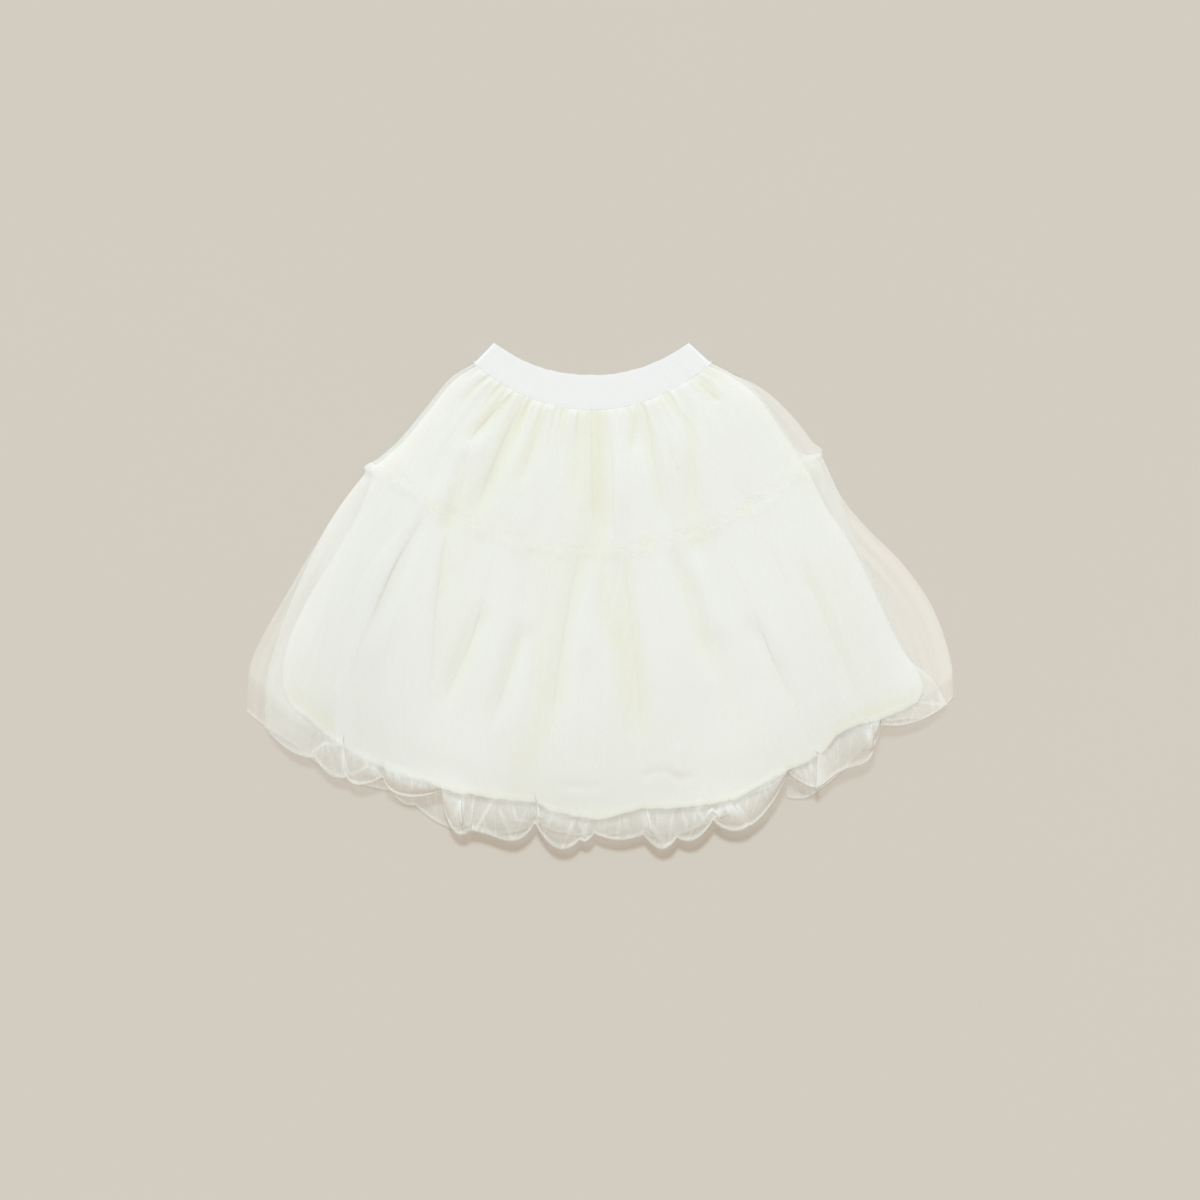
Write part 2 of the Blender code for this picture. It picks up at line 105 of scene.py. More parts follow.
# How far the front tulle's edges stay inside the back's: share down, left and right.
frontInset = [
    (0, 0, 0), (0.03, 0, 0), (0.08, 0, 0.5), (0.12, 0, 1.5), (0.16, 0, 4.5), (0.245, 0, 9.5),
    (0.285, 0, 11), (0.305, 0, 9), (0.318, 0, 2), (0.326, 0, 0), (0.45, 0, 0), (0.49, 0, 2.5),
    (0.55, 0, 7), (0.63, 1.5, 15), (0.71, 4, 22.5), (0.78, 7, 27), (0.83, 9.5, 29), (0.87, 12, 28.5),
    (0.91, 13.5, 19), (0.94, 14.5, 14), (1, 15.5, 5),
]

# The main folds of the front: from x, y to x, y, width at each end, and depth as a share of the
# height of the cloth, valleys negative.
mainFolds = [
    (-75, 176, -111, 134, 5, 6.5, -0.4), (-117, 121, -131, 53, 6, 7, -0.22),
    (-64, 170, -106, 74, 6, 9, -0.25), (-46, 164, -69, 99, 5, 7, -0.22),
    (-20, 158, -22, 89, 5, 7, -0.18), (-1, 158, 0, 50, 9, 12, -0.3), (17, 158, 20, 70, 5, 8, 0.16),
    (31, 161, 27, 124, 4.5, 6, -0.22), (41, 152, 56, 64, 5, 8, -0.2), (78, 158, 82, 74, 5, 8, -0.18),
    (88, 184, 101, 166, 4.5, 5, -0.25), (-150, 70, -196, -30, 7, 11, -0.16),
    (-131, 56, -144, -84, 7, 9, -0.11), (-102, -16, -136, -92, 7, 8, -0.19),
    (-66, -30, -92, -108, 8, 9, -0.2), (-17, 36, -42, -118, 8, 12, -0.17),
    (-6, 30, -14, -60, 7, 10, 0.12), (19, 33, 36, -128, 8, 11, -0.24), (64, 34, 100, -64, 7, 9, -0.2),
    (84, 30, 106, -36, 6, 8, 0.12), (132, -24, 168, -96, 7, 9, -0.14),
    (173, 26, 222, -88, 7, 10, -0.15),
]


def ease(t):
    t = np.clip(t, 0.0, 1.0)
    return t * t * (3 - 2 * t)


# 1 at the middle, falling away softly over the width.
def hump(value, middle, width):
    return np.exp(-((value - middle) / width) ** 2)


# A smooth curve through given values.
def smoothCurve(place, places, values):
    places, values = np.array(places), np.array(values)
    place = np.clip(place, places[0], places[-1])
    i = np.clip(np.searchsorted(places, place, side="right") - 1, 0, len(places) - 2)
    padPlaces = np.concatenate(([places[0]], places, [places[-1]]))
    padValues = np.concatenate(([values[0]], values, [values[-1]]))
    slopes = (padValues[2:] - padValues[:-2]) / (padPlaces[2:] - padPlaces[:-2])
    span = places[i + 1] - places[i]
    t = (place - places[i]) / span
    return ((1 + 2 * t) * (1 - t) ** 2 * values[i] + t * t * (3 - 2 * t) * values[i + 1]
            + t * (1 - t) ** 2 * span * slopes[i] - t * t * (1 - t) * span * slopes[i + 1])


# One column of the sections at any share of the way down.
def sectionAt(name, down):
    return smoothCurve(down, sections[:, 0], sections[:, sectionColumns.index(name)])


# A point on a cross line that sags from its two ends to its middle.
def arcPoint(across, leftX, leftY, rightX, rightY, centreY, leftRound, rightRound):
    x = 0.5 * (leftX + rightX) + 0.5 * across * (rightX - leftX)
    chord = 0.5 * (leftY + rightY) + 0.5 * across * (rightY - leftY)
    sag = 0.5 * (leftY + rightY) - centreY
    roundness = np.where(across < 0, leftRound, rightRound)
    return x, chord - sag * (1 - np.abs(across) ** roundness)


# Plan position, from -1 to 1 across and from the waist 0 to the bottom edge 1 down.
def skirtPoint(across, down):
    names = ("leftX", "leftY", "rightX", "rightY", "centreY", "leftRound", "rightRound")
    x, y = arcPoint(across, *(sectionAt(name, down) for name in names))
    share = ease((np.abs(across) - 0.93) / 0.07)
    for side, place, reach, spread in seamEnds:
        x = x + np.where(side * across > 0, side * reach * share, 0) * hump(down, place, spread)
    return x, y


# Where a layer ends across, when its sides stay inside the outline by so many millimetres.
def insetSides(down, leftInset, rightInset):
    width = sectionAt("rightX", down) - sectionAt("leftX", down)
    return -1 + 2 * leftInset / width, 1 - 2 * rightInset / width


def liningSides(down):
    return insetSides(down, sectionAt("liningLeft", down), sectionAt("liningRight", down))


# The tulle's share across at a share across the narrower lining.
def liningAcross(across, down):
    left, right = liningSides(down)
    return left + 0.5 * (across + 1) * (right - left)


# The same for the front tulle, which is a little narrower than the back.
def frontAcross(across, down):
    places, leftInset, rightInset = zip(*frontInset)
    left, right = insetSides(down, np.interp(down, places, leftInset), np.interp(down, places, rightInset))
    return left + 0.5 * (across + 1) * (right - left)


# 1 over the middle, coming down steeply to 0 at both sides.
def sideEnvelope(across):
    return np.sqrt(np.maximum(0.0, 1 - np.abs(across) ** 10))


# Columns sit a little closer together at the sides.
def crowded(share):
    return share * (1 + 0.15 * (1 - share ** 2))


# Stretched soft noise, from -1 to 1: cells across and down, blended smoothly between them.
def softNoise(u, v, cellsU, cellsV, seed):
    table = np.random.default_rng(seed).uniform(-1, 1, (cellsV + 2, cellsU + 2))
    gu, gv = np.clip(u, 0, 1) * cellsU, np.clip(v, 0, 1) * cellsV
    iu, iv = np.minimum(gu.astype(int), cellsU - 1), np.minimum(gv.astype(int), cellsV - 1)
    fu, fv = ease(gu - iu), ease(gv - iv)
    top = table[iv, iu] * (1 - fu) + table[iv, iu + 1] * fu
    low = table[iv + 1, iu] * (1 - fu) + table[iv + 1, iu + 1] * fu
    return top * (1 - fv) + low * fv


# Several of them added up: share of each, then its cells and seed.
def noises(u, v, *layers):
    return sum(share * softNoise(u, v, *cells) for share, *cells in layers)


# Soft noise with sharp creases, from -1.2 to 0.8.
def sharpNoise(u, v, cellsU, cellsV, seed):
    return 2 * np.sqrt(np.abs(softNoise(u, v, cellsU, cellsV, seed))) - 1.2


# Overlapping gathers: each has a crisp edge on its left and thins out to its right.
def laps(u, v, count, seed):
    place = count * u + 0.9 * softNoise(u, v, 7, 2, seed) + 2
    lap = np.floor(place).astype(int)
    past = place - lap
    table = np.random.default_rng(seed).uniform(0, 1, (4, count + 5))
    part = np.clip(v, 0, 1) * 3
    i = np.minimum(part.astype(int), 2)
    level = table[i, lap] + (table[i + 1, lap] - table[i, lap]) * ease(part - i)
    return level ** 1.5 * ease(past / 0.16) * (1 - past) ** 1.3


# How near each point is to thin lines drawn through given points, from 0 to 1.
def nearLines(x, y, lines):
    near = np.zeros_like(x)
    for width, *points in lines:
        for (fromX, fromY), (toX, toY) in zip(points, points[1:]):
            runX, runY = toX - fromX, toY - fromY
            along = np.clip(((x - fromX) * runX + (y - fromY) * runY) / (runX ** 2 + runY ** 2), 0, 1)
            apart = np.hypot(x - fromX - along * runX, y - fromY - along * runY)
            near = np.maximum(near, hump(apart, 0, width))
    return near


# Where a line with a sideways bow passes: the share along it and the distance aside in widths.
def lineShares(x, y, fromX, fromY, toX, toY, bow, fromWidth, toWidth):
    runX, runY = toX - fromX, toY - fromY
    length = math.hypot(runX, runY)
    along = ((x - fromX) * runX + (y - fromY) * runY) / length ** 2
    held = np.clip(along, 0, 1)
    aside = ((x - fromX) * runY - (y - fromY) * runX) / length - bow * 4 * held * (1 - held)
    width = fromWidth + held * (toWidth - fromWidth)
    return along, aside / width, width, runX / length, runY / length


# 1 along a line, fading out past its two ends.
def lineEnds(along, past, fade, lastFade=None):
    return ease((along + past) / fade) * ease((1 + past - along) / (lastFade or fade))


# How high or deep the main folds are at each point.
def foldShare(x, y):
    total = np.zeros_like(x)
    for *line, fromWidth, toWidth, depth in mainFolds:
        along, aside, *others = lineShares(x, y, *line, 0, fromWidth, toWidth)
        total += depth * lineEnds(along, 0.15, 0.3, 0.4) * hump(aside, 0, 1)
    return np.maximum(total, -0.5)


# Net folded over along a line: crisp at the line and thinning out over the reach, which goes to
# the right of a line down the skirt, or to the left where it is negative.
def foldedOver(x, y, folds):
    more = np.zeros_like(x)
    for *line, reach, layers in folds:
        along, aside, *others = lineShares(x, y, *line, 1, 1)
        past = -aside * math.copysign(1, reach)
        more += (layers * lineEnds(along, 0.08, 0.16) * ease(past / 2.4 + 0.5)
                 * hump(np.maximum(past, 0), 0, reach))
    return more


# Pleats: the cloth is drawn over itself along each line. A row gives from x, y to x, y, the bow,
# the width at each end, how much it laps (over 0.4 it doubles back) and how much it rises
# (negative where it laps the other way), and two more numbers, the reach and layers, where the
# net is also folded over along that line. More puts out the extra net there.
def pleat(x, y, z, pleats, amount=1.0, lapShare=1.0):
    x0, y0, more = x, y, 0 * x
    for row in pleats:
        *line, lap, rise = row[:9]
        along, u, width, dirX, dirY = lineShares(x0, y0, *line)
        ends = lineEnds(along, 0.10, 0.22) * amount
        shift = -2.6 * lap * lapShare * width * u * np.exp(-u * u) * ends
        x = x + shift * dirY
        y = y - shift * dirX
        v = u * math.copysign(1, rise)
        climb = 0.5 * (1 + np.tanh(1.6 * v)) * hump(np.maximum(0, v - 0.8), 0, 2.6)
        z = z + abs(rise) * (0.5 + 0.5 * lapShare) * climb * ends
        more = more + lap * ease((v + 0.3) / 0.6) * hump(np.maximum(0, v - 0.5), 0, 1.7) * ends
    return x, y, z, more


# The lines of the pleats where the net is also folded over.
def foldsOf(pleats):
    return [(*row[:5], *row[9:]) for row in pleats if len(row) > 9]


# Soft troughs and ridges: from x, y to x, y, bow, width at each end, height in millimetres.
# Also puts out how deep the troughs are, which the lining uses for painted shade in them.
def crease(x, y, z, creases, amount=1.0):
    troughShade = np.zeros_like(z)
    for *line, height in creases:
        along, u, *others = lineShares(x, y, *line)
        ends = lineEnds(along, 0.12, 0.27) * amount
        z = z + height * ends * np.exp(-u * u)
        troughShade += np.clip(-height, 0, 3) / 3 * ends * hump(1.25 * u, 0, 1)
    return z, troughShade


# The higher of two heights, rounded where they cross.
def softMax(first, second, softness=0.8):
    return second + softness * np.logaddexp(0, (first - second) / softness)


# How far the notches lie past the last cross line, and how far the puff hangs past them.
def puffReach(puffs, across):
    table = np.array(puffs)
    first, final = table[0, 0], table[-1, 0]
    x = 0.5 * (first + final) + 0.5 * across * (final - first)
    i = np.clip(np.searchsorted(table[:, 0], x, side="right") - 1, 0, len(table) - 2)
    share = np.clip((x - table[i, 0]) / (table[i + 1, 0] - table[i, 0]), 0, 1)
    skew = math.log(0.5) / np.log(table[i, 3])
    notches = table[i, 1] + share * (table[i + 1, 1] - table[i, 1])
    return notches, table[i, 2] * np.abs(np.sin(math.pi * share ** skew)) ** 0.8


# Where the lining's hem is, at a share across the tulle.
def hemDown(across):
    return seams["hem"] + smoothCurve(300 * across, *zip(*hemDrops)) / seams["hemLength"]


# The bottom edge, and the lining's hem just above it, on one line down the skirt.
def hemLine(puffs, across, hem):
    seamX, seamY = skirtPoint(across, hem + hemGap)
    baseX, baseY = skirtPoint(across, 1.0 + 0 * across)
    length = np.hypot(baseX - seamX, baseY - seamY)
    notches, bulge = puffReach(puffs, across)
    reach = notches + bulge
    edgeX = baseX + reach * (baseX - seamX) / length
    edgeY = baseY + reach * (baseY - seamY) / length
    return edgeX, edgeY, seamX, seamY, length + reach, bulge


def setInputs(node, values):
    for socket, value in values.items():
        node.inputs[socket].default_value = value


def newMaterial(name):
    material = bpy.data.materials.new(name)
    material.use_nodes = True
    tree = material.node_tree
    return material, tree, tree.nodes["Principled BSDF"]


# A group of nodes. Its place comes in as a vector, and all else goes in and out as numbers.
def newGroup(name, given, made):
    group = bpy.data.node_groups.new(name, "ShaderNodeTree")
    for direction, sockets in (("INPUT", given), ("OUTPUT", made)):
        for socket in sockets:
            kind = "NodeSocketVector" if socket == "Place" else "NodeSocketFloat"
            group.interface.new_socket(socket, in_out=direction, socket_type=kind)
    return group, group.nodes.new("NodeGroupInput").outputs, group.nodes.new("NodeGroupOutput").inputs


# A node that uses a group, with its own numbers and its place read from an attribute.
def groupNode(tree, group, place, values):
    node = tree.nodes.new("ShaderNodeGroup")
    node.node_tree = group
    setInputs(node, values)
    tree.links.new(attributeNode(tree, place, "Vector"), node.inputs["Place"])
    return node


def mathNode(tree, operation, first, second=None):
    node = tree.nodes.new("ShaderNodeMath")
    node.operation = operation
    for socket, value in zip(node.inputs, (first, second)):
        if isinstance(value, (int, float)):
            socket.default_value = value
        elif value is not None:
            tree.links.new(value, socket)
    return node.outputs[0]


def attributeNode(tree, name, output="Fac"):
    node = tree.nodes.new("ShaderNodeAttribute")
    node.attribute_name = name
    return node.outputs[output]


def colourMix(tree, share, first, second):
    node = tree.nodes.new("ShaderNodeMix")
    node.data_type = "RGBA"
    for socket, value in ((node.inputs[0], share), (node.inputs[6], first), (node.inputs[7], second)):
        if isinstance(value, tuple):
            socket.default_value = (*value, 1.0)
        else:
            tree.links.new(value, socket)
    return node.outputs[2]


# The net itself: three sets of waves at 60 degrees leave a honeycomb of holes. Place is on the
# flat cloth in millimetres. Puts out how much thread there is, 1 on average.
def makeNetGroup():
    group, given, out = newGroup("honeycombNet", ("Place", "Pitch", "Contrast"), ("Thread",))
    parts = group.nodes.new("ShaderNodeSeparateXYZ")
    group.links.new(given["Place"], parts.inputs[0])
    turns = mathNode(group, "DIVIDE", 4 * math.pi / math.sqrt(3), given["Pitch"])
    total = 0.0
    for angle in (0, 60, 120):
        across = mathNode(group, "MULTIPLY", parts.outputs[0], math.cos(math.radians(angle)))
        down = mathNode(group, "MULTIPLY", parts.outputs[1], math.sin(math.radians(angle)))
        phase = mathNode(group, "MULTIPLY", mathNode(group, "ADD", across, down), turns)
        total = mathNode(group, "ADD", total, mathNode(group, "COSINE", phase))
    swing = mathNode(group, "MULTIPLY", total, given["Contrast"])
    group.links.new(mathNode(group, "SUBTRACT", 1.0, swing), out["Thread"])
    return group


# Crumpled net: flat facets, some denser than others, with sharp straight creases between them.
# Puts out how much net they add.
def makeCrumpleGroup():
    lineWidth = 0.06   # of a facet
    group, given, out = newGroup("crumpledNet", ("Place", "Size", "Facets", "Lines"), ("Share",))
    scale = mathNode(group, "DIVIDE", 1.0, given["Size"])
    cells, edges = (group.nodes.new("ShaderNodeTexVoronoi") for i in range(2))
    edges.feature = "DISTANCE_TO_EDGE"
    for node in (cells, edges):
        group.links.new(given["Place"], node.inputs["Vector"])
        group.links.new(scale, node.inputs["Scale"])
    parts = group.nodes.new("ShaderNodeSeparateColor")
    group.links.new(cells.outputs["Color"], parts.inputs[0])
    facets = mathNode(group, "MULTIPLY", parts.outputs[0], given["Facets"])
    near = mathNode(group, "DIVIDE", edges.outputs["Distance"], lineWidth)
    line = mathNode(group, "SUBTRACT", 1.0, mathNode(group, "MINIMUM", near, 1.0))
    lines = mathNode(group, "MULTIPLY", line, given["Lines"])
    group.links.new(mathNode(group, "ADD", facets, lines), out["Share"])
    return group


# Plain weave: crossing yarns as height for a bump, and a slow unevenness of colour.
def makeWeaveGroup():
    group, given, out = newGroup("plainWeave", ("Place", "Yarn"), ("Height", "Mottle"))
    parts = group.nodes.new("ShaderNodeSeparateXYZ")
    group.links.new(given["Place"], parts.inputs[0])
    turns = mathNode(group, "DIVIDE", math.pi, given["Yarn"])
    waves = [mathNode(group, "SINE", mathNode(group, "MULTIPLY", parts.outputs[i], turns)) for i in (0, 1)]
    group.links.new(mathNode(group, "MULTIPLY", *waves), out["Height"])
    noise = group.nodes.new("ShaderNodeTexNoise")
    setInputs(noise, {"Scale": 0.09, "Detail": 4.0})
    group.links.new(given["Place"], noise.inputs["Vector"])
    group.links.new(noise.outputs["Fac"], out["Mottle"])
    return group


netGroup, crumpleGroup, weaveGroup = makeNetGroup(), makeCrumpleGroup(), makeWeaveGroup()

tulleLook = {
    "colour": (0.866, 0.882, 0.828),
    # The warm colour tints the net at the sides, and in the puffs it is painted shade for the shadowed floor
    # under them.
    "warm": (0.905, 0.870, 0.785),
    "roughness": 0.75,
    "sheen": 0.15,
    "cover": 0.25,        # the share of the view that one flat layer of net fills
    "pitch": 1.6,         # millimetres from hole to hole
    "contrast": 0.02,     # how much the holes show in the puffs; flat on the lining they don't
    "crumpleSize": 20.0, "facets": 0.6, "lines": 1.2,
    "wall": 0.22,
}


# 1 where a ray asks how much light comes through, 0 where it shows the cloth itself.
def lightShare(tree):
    path = tree.nodes.new("ShaderNodeLightPath")
    return mathNode(tree, "MAXIMUM", path.outputs["Is Shadow Ray"], path.outputs["Is Diffuse Ray"])


# Sheer net. The inner faces and the cut edges of the thin wall are left clear, so a layer counts
# once. Net pressed on what lies under it hides its own shadow, so "shade" says how dark a shadow
# each part throws.
def makeTulleMaterial(name, look):
    material, tree, shader = newMaterial(name)
    colour = colourMix(tree, attributeNode(tree, "warmth"), look["colour"], look["warm"])
    tree.links.new(colour, shader.inputs["Base Color"])
    setInputs(shader, {"Roughness": look["roughness"], "Sheen Weight": look["sheen"]})
    crumpling = attributeNode(tree, "crumpling")
    net = groupNode(tree, netGroup, "flatPlace", {"Pitch": look["pitch"]})
    tree.links.new(mathNode(tree, "MULTIPLY", crumpling, look["contrast"]), net.inputs["Contrast"])
    crumple = groupNode(tree, crumpleGroup, "crumplePlace", {
        "Size": look["crumpleSize"], "Facets": look["facets"], "Lines": look["lines"]})
    crumpled = mathNode(tree, "MULTIPLY", crumple.outputs["Share"], crumpling)
    layers = mathNode(tree, "MULTIPLY", attributeNode(tree, "layers"), mathNode(tree, "ADD", crumpled, 1.0))
    thread = mathNode(tree, "MULTIPLY", net.outputs["Thread"], look["cover"])
    passed = mathNode(tree, "POWER", mathNode(tree, "SUBTRACT", 1.0, thread), layers)
    covered = mathNode(tree, "SUBTRACT", 1.0, passed)
    hidden = mathNode(tree, "MAXIMUM", tree.nodes.new("ShaderNodeNewGeometry").outputs["Backfacing"],
                      attributeNode(tree, "rim"))
    change = mathNode(tree, "SUBTRACT", attributeNode(tree, "shade"), covered)
    filled = mathNode(tree, "ADD", covered, mathNode(tree, "MULTIPLY", lightShare(tree), change))
    alpha = mathNode(tree, "MULTIPLY", filled, mathNode(tree, "SUBTRACT", 1.0, hidden))
    tree.links.new(alpha, shader.inputs["Alpha"])
    return material


# Thin cloth. "Through" says how much of the light goes on through each part.
def makeClothMaterial(name, look):
    material, tree, shader = newMaterial(name)
    weave = groupNode(tree, weaveGroup, "flatPlace", {"Yarn": look["yarn"]})
    base = colourMix(tree, attributeNode(tree, "warmth"), look["colour"], look["warm"])
    uneven = mathNode(tree, "MULTIPLY", weave.outputs["Mottle"], look["mottle"])
    tree.links.new(colourMix(tree, uneven, base, look["warm"]), shader.inputs["Base Color"])
    setInputs(shader, {"Roughness": look["roughness"], "Sheen Weight": look["sheen"]})
    bump = tree.nodes.new("ShaderNodeBump")
    setInputs(bump, {"Strength": look["bump"], "Distance": look["bumpHeight"] * mm})
    tree.links.new(weave.outputs["Height"], bump.inputs["Height"])
    tree.links.new(bump.outputs["Normal"], shader.inputs["Normal"])
    lost = mathNode(tree, "MULTIPLY", lightShare(tree), attributeNode(tree, "through"))
    tree.links.new(mathNode(tree, "SUBTRACT", 1.0, lost), shader.inputs["Alpha"])
    return material


# Even steps with one more narrow step at each end, which keeps the rim's shading off the cloth.
def narrowEnds(share, steps, narrow=0.015):
    places = np.concatenate(([0, narrow], np.arange(1, steps), [steps - narrow, steps]))
    return places[np.round(share * (steps + 2)).astype(int)]


def addAttribute(mesh, name, values, domain="POINT"):
    kind, field = ("FLOAT_VECTOR", "vector") if np.ndim(values) == 2 else ("FLOAT", "value")
    mesh.attributes.new(name, kind, domain).data.foreach_set(field, values.astype(np.float32).ravel())


# A grid primitive moved into place by place(share across, row), then given its wall. Place also
# gives facts about each point that the finish reads.
def makeSheet(name, counts, place, flatSize, look, material, node=None, outward=False, closed=False):
    columns, rows = counts
    bpy.ops.object.select_all(action="DESELECT")
    columnFaces, rowFaces = columns + (0 if closed else 2), rows + 2
    bpy.ops.mesh.primitive_grid_add(x_subdivisions=columnFaces, y_subdivisions=rowFaces, size=2)
    piece = bpy.context.object
    piece.name = piece.data.name = name
    mesh = piece.data
    points = np.empty(len(mesh.vertices) * 3, np.float32)
    mesh.vertices.foreach_get("co", points)
    points = points.reshape(-1, 3).astype(float)
    share, row = points[:, 0], narrowEnds(0.5 * (1 - points[:, 1]), rows)
    if not closed:
        share = 2 * narrowEnds(0.5 * (1 + share), columns) / columns - 1
    x, y, z, facts = place(share, row)
    mesh.vertices.foreach_set("co", (np.stack([x, y, z], 1) * mm).astype(np.float32).ravel())
    mesh.update()
    normals = np.empty(len(mesh.vertices) * 3, np.float32)
    mesh.vertex_normals.foreach_get("vector", normals)
    steep = np.maximum(np.abs(normals.reshape(-1, 3)[:, 2]), 0.3)
    flat = [0.5 * share * flatSize[0], -row / rows * flatSize[1], 0 * share]
    addAttribute(mesh, "flatPlace", np.stack(flat, 1))
    facts.setdefault("warmth", 0 * share)
    if "layers" in facts:
        facts["layers"] = facts["layers"] / steep
    if "crumpleDown" in facts:
        addAttribute(mesh, "crumplePlace", np.stack([x, 0.28 * facts.pop("crumpleDown"), 0 * x], 1))
    for attribute, values in facts.items():
        addAttribute(mesh, attribute, values + 0 * share)
    mesh.materials.append(material)
    if closed:
        bpy.ops.object.mode_set(mode="EDIT")
        bpy.ops.mesh.select_all(action="SELECT")
        bpy.ops.mesh.remove_doubles(threshold=0.01 * mm)
        bpy.ops.object.mode_set(mode="OBJECT")
    mesh.shade_smooth()
    solid = piece.modifiers.new("wall", "SOLIDIFY")
    solid.thickness = look["wall"] * mm
    solid.offset = 1.0 if outward else -1.0
    solid.use_even_offset = False
    bpy.ops.object.modifier_apply(modifier="wall")
    rims = np.arange(len(piece.data.polygons)) >= 2 * columnFaces * rowFaces
    piece.data.polygons.foreach_set("use_smooth", ~rims)
    addAttribute(piece.data, "rim", rims, "FACE")
    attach(piece, "root")
    if node:
        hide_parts(node)
    print(name, len(piece.data.polygons), "faces")
    return piece


liningLook = {
    # The warm colour is the cream of the hem turning and seams where it shows, and also painted shade in the
    # valleys of the folds and gathers.
    "colour": (0.930, 0.943, 0.888), "warm": (0.895, 0.897, 0.710), "mottle": 0.08,
    "roughness": 0.62, "sheen": 0.10, "yarn": 0.45, "bump": 0.10, "bumpHeight": 0.05,
    "through": 0.4, "hemThrough": 0.78,    # the share of the light that goes on through the thin cloth
    "frontCounts": (330, 110), "backCounts": (160, 60), "wall": 0.45,
    "tuck": 3.0, "tuckTop": 2.9,           # how far the cloth goes up inside the band, and how high there
    "leftCorner": 12.0, "rightCorner": 7.5,
}

liningCreases = [
    (35.5, -155.5, 43, -152, 0, 2.4, 2.4, -0.9), (43, -152, 53.5, -149.5, 0, 2.4, 2.4, -0.9),
    (53.5, -149.5, 61, -153, 0, 2.4, 2.4, -0.9), (61, -153, 65.5, -157.5, 0, 2.4, 2.4, -0.9),
    (65.5, -157.5, 80, -155.5, 0, 2.4, 2.8, -0.8), (67.5, -128, 67.5, -153, 0, 3.8, 3.6, 1.1),
    (-34, -163, 0, -164, 1, 3, 3, -0.7),
]

# Where the cream hem turning shows through: reach, then the points it runs along.
creamPatches = [
    (8, (200, -116), (222, -104), (255, -94), (276, -80)),
    (11, (-262, -86), (-238, -108)),
]

# Where the net lies looser and more of the cream shows.
creamBands = [
    (14, (-50, 30), (-52, -38), (-48, -89), (-64, -136)),
    (10, (-4, 40), (2, -4), (16, -40)),
]


# How much shorter the lining is towards its two rounded corners.
def cornerLift(across):
    radius = np.where(across < 0, liningLook["leftCorner"], liningLook["rightCorner"])
    t = np.clip((np.abs(across) - 1) * seams["hemHalfWidth"] / radius + 1, 0, 1)
    return radius / seams["skirtLength"] * (1 - np.sqrt(1 - t * t))


# The upper face of the front lining, at a share across it. The tulle over it asks for this too.
def liningTop(across, down, x, y):
    u, v = 0.5 * (across + 1), down / seams["hem"]
    envelope = sideEnvelope(across)
    folds = foldShare(x, y)
    side = 2.6 + 2.0 * np.exp(-down / 0.05)
    z = side + envelope * (np.maximum(sectionAt("liningTop", down), side) - side) * (1 + 0.85 * folds)
    waist = np.exp(-down / 0.07) * ease(down / 0.008)
    gathers = softNoise(u, v, 72, 2, 42)
    broad = noises(u, v, (0.9, 22, 2, 43), (0.9, 9, 2, 44))
    crumple = 0.12 * softNoise(u, v, 30, 14, 45)
    z = z + envelope * (waist * gathers + (broad + crumple) * ease(down / 0.12) * ease((1 - v) / 0.06 + 0.3))
    z, troughShade = crease(x, y, z, liningCreases, envelope)
    z = z - 0.7 * np.exp(-down / 0.010)
    atTier = hump(down, seams["tier"], 0.030) * (0.5 + 0.5 * softNoise(u, v, 50, 2, 47))
    # Painted shade: the lining turns warmer and darker in the valleys of the main folds, in the crease
    # troughs and in the low parts of the gathers under the band. The rest of its warmth is cream from the
    # tier seam, the hem turning and looser net, and an uneven tone.
    warmth = (-2.8 * folds + 0.3 * troughShade + 0.3 * atTier + waist * (0.45 - gathers)
              + 0.3 * softNoise(u, v, 16, 3, 48)
              + 0.7 * nearLines(x, y, creamPatches) + 0.45 * nearLines(x, y, creamBands))
    return z, np.clip(warmth, 0, 1)


# Rows at even spaces down the cloth, the first of them up inside the band. Puts out how far down
# each row is, how much of it is in the band and how far up it goes there.
def tuckedRows(row, rows, last, tuck):
    inBand = np.clip(1 - row, 0, 1)
    return np.maximum(0.0, (row - 1) / (rows - 1)) * last, inBand, tuck * inBand


def liningPlace(front):
    s = liningLook
    rows = (s["frontCounts"] if front else s["backCounts"])[1]

    def place(share, row):
        across = crowded(share)
        hem = hemDown(liningAcross(across, seams["hem"]))
        down, inBand, tuck = tuckedRows(row, rows, hem - hemGap - cornerLift(across), s["tuck"])
        x, y = skirtPoint(liningAcross(across, down), down)
        fromHem = (hem - down) * seams["hemLength"]
        facts = {"through": s["through"] + ease(1.3 - fromHem / 25) * (s["hemThrough"] - s["through"])}
        if not front:
            return x, y + tuck, 2.1 + 0.12 * softNoise(0.5 * (share + 1), down, 40, 3, 41), facts
        z, warmth = liningTop(across, down, x, y)
        uneven = 0.6 + 0.3 * softNoise(0.5 * (share + 1), 0 * share, 70, 1, 49)
        facts["warmth"] = np.clip(warmth + hump(fromHem, 0, 4.0) * uneven, 0, 1)
        return x, y + tuck, z + (s["tuckTop"] - z) * inBand, facts
    return place


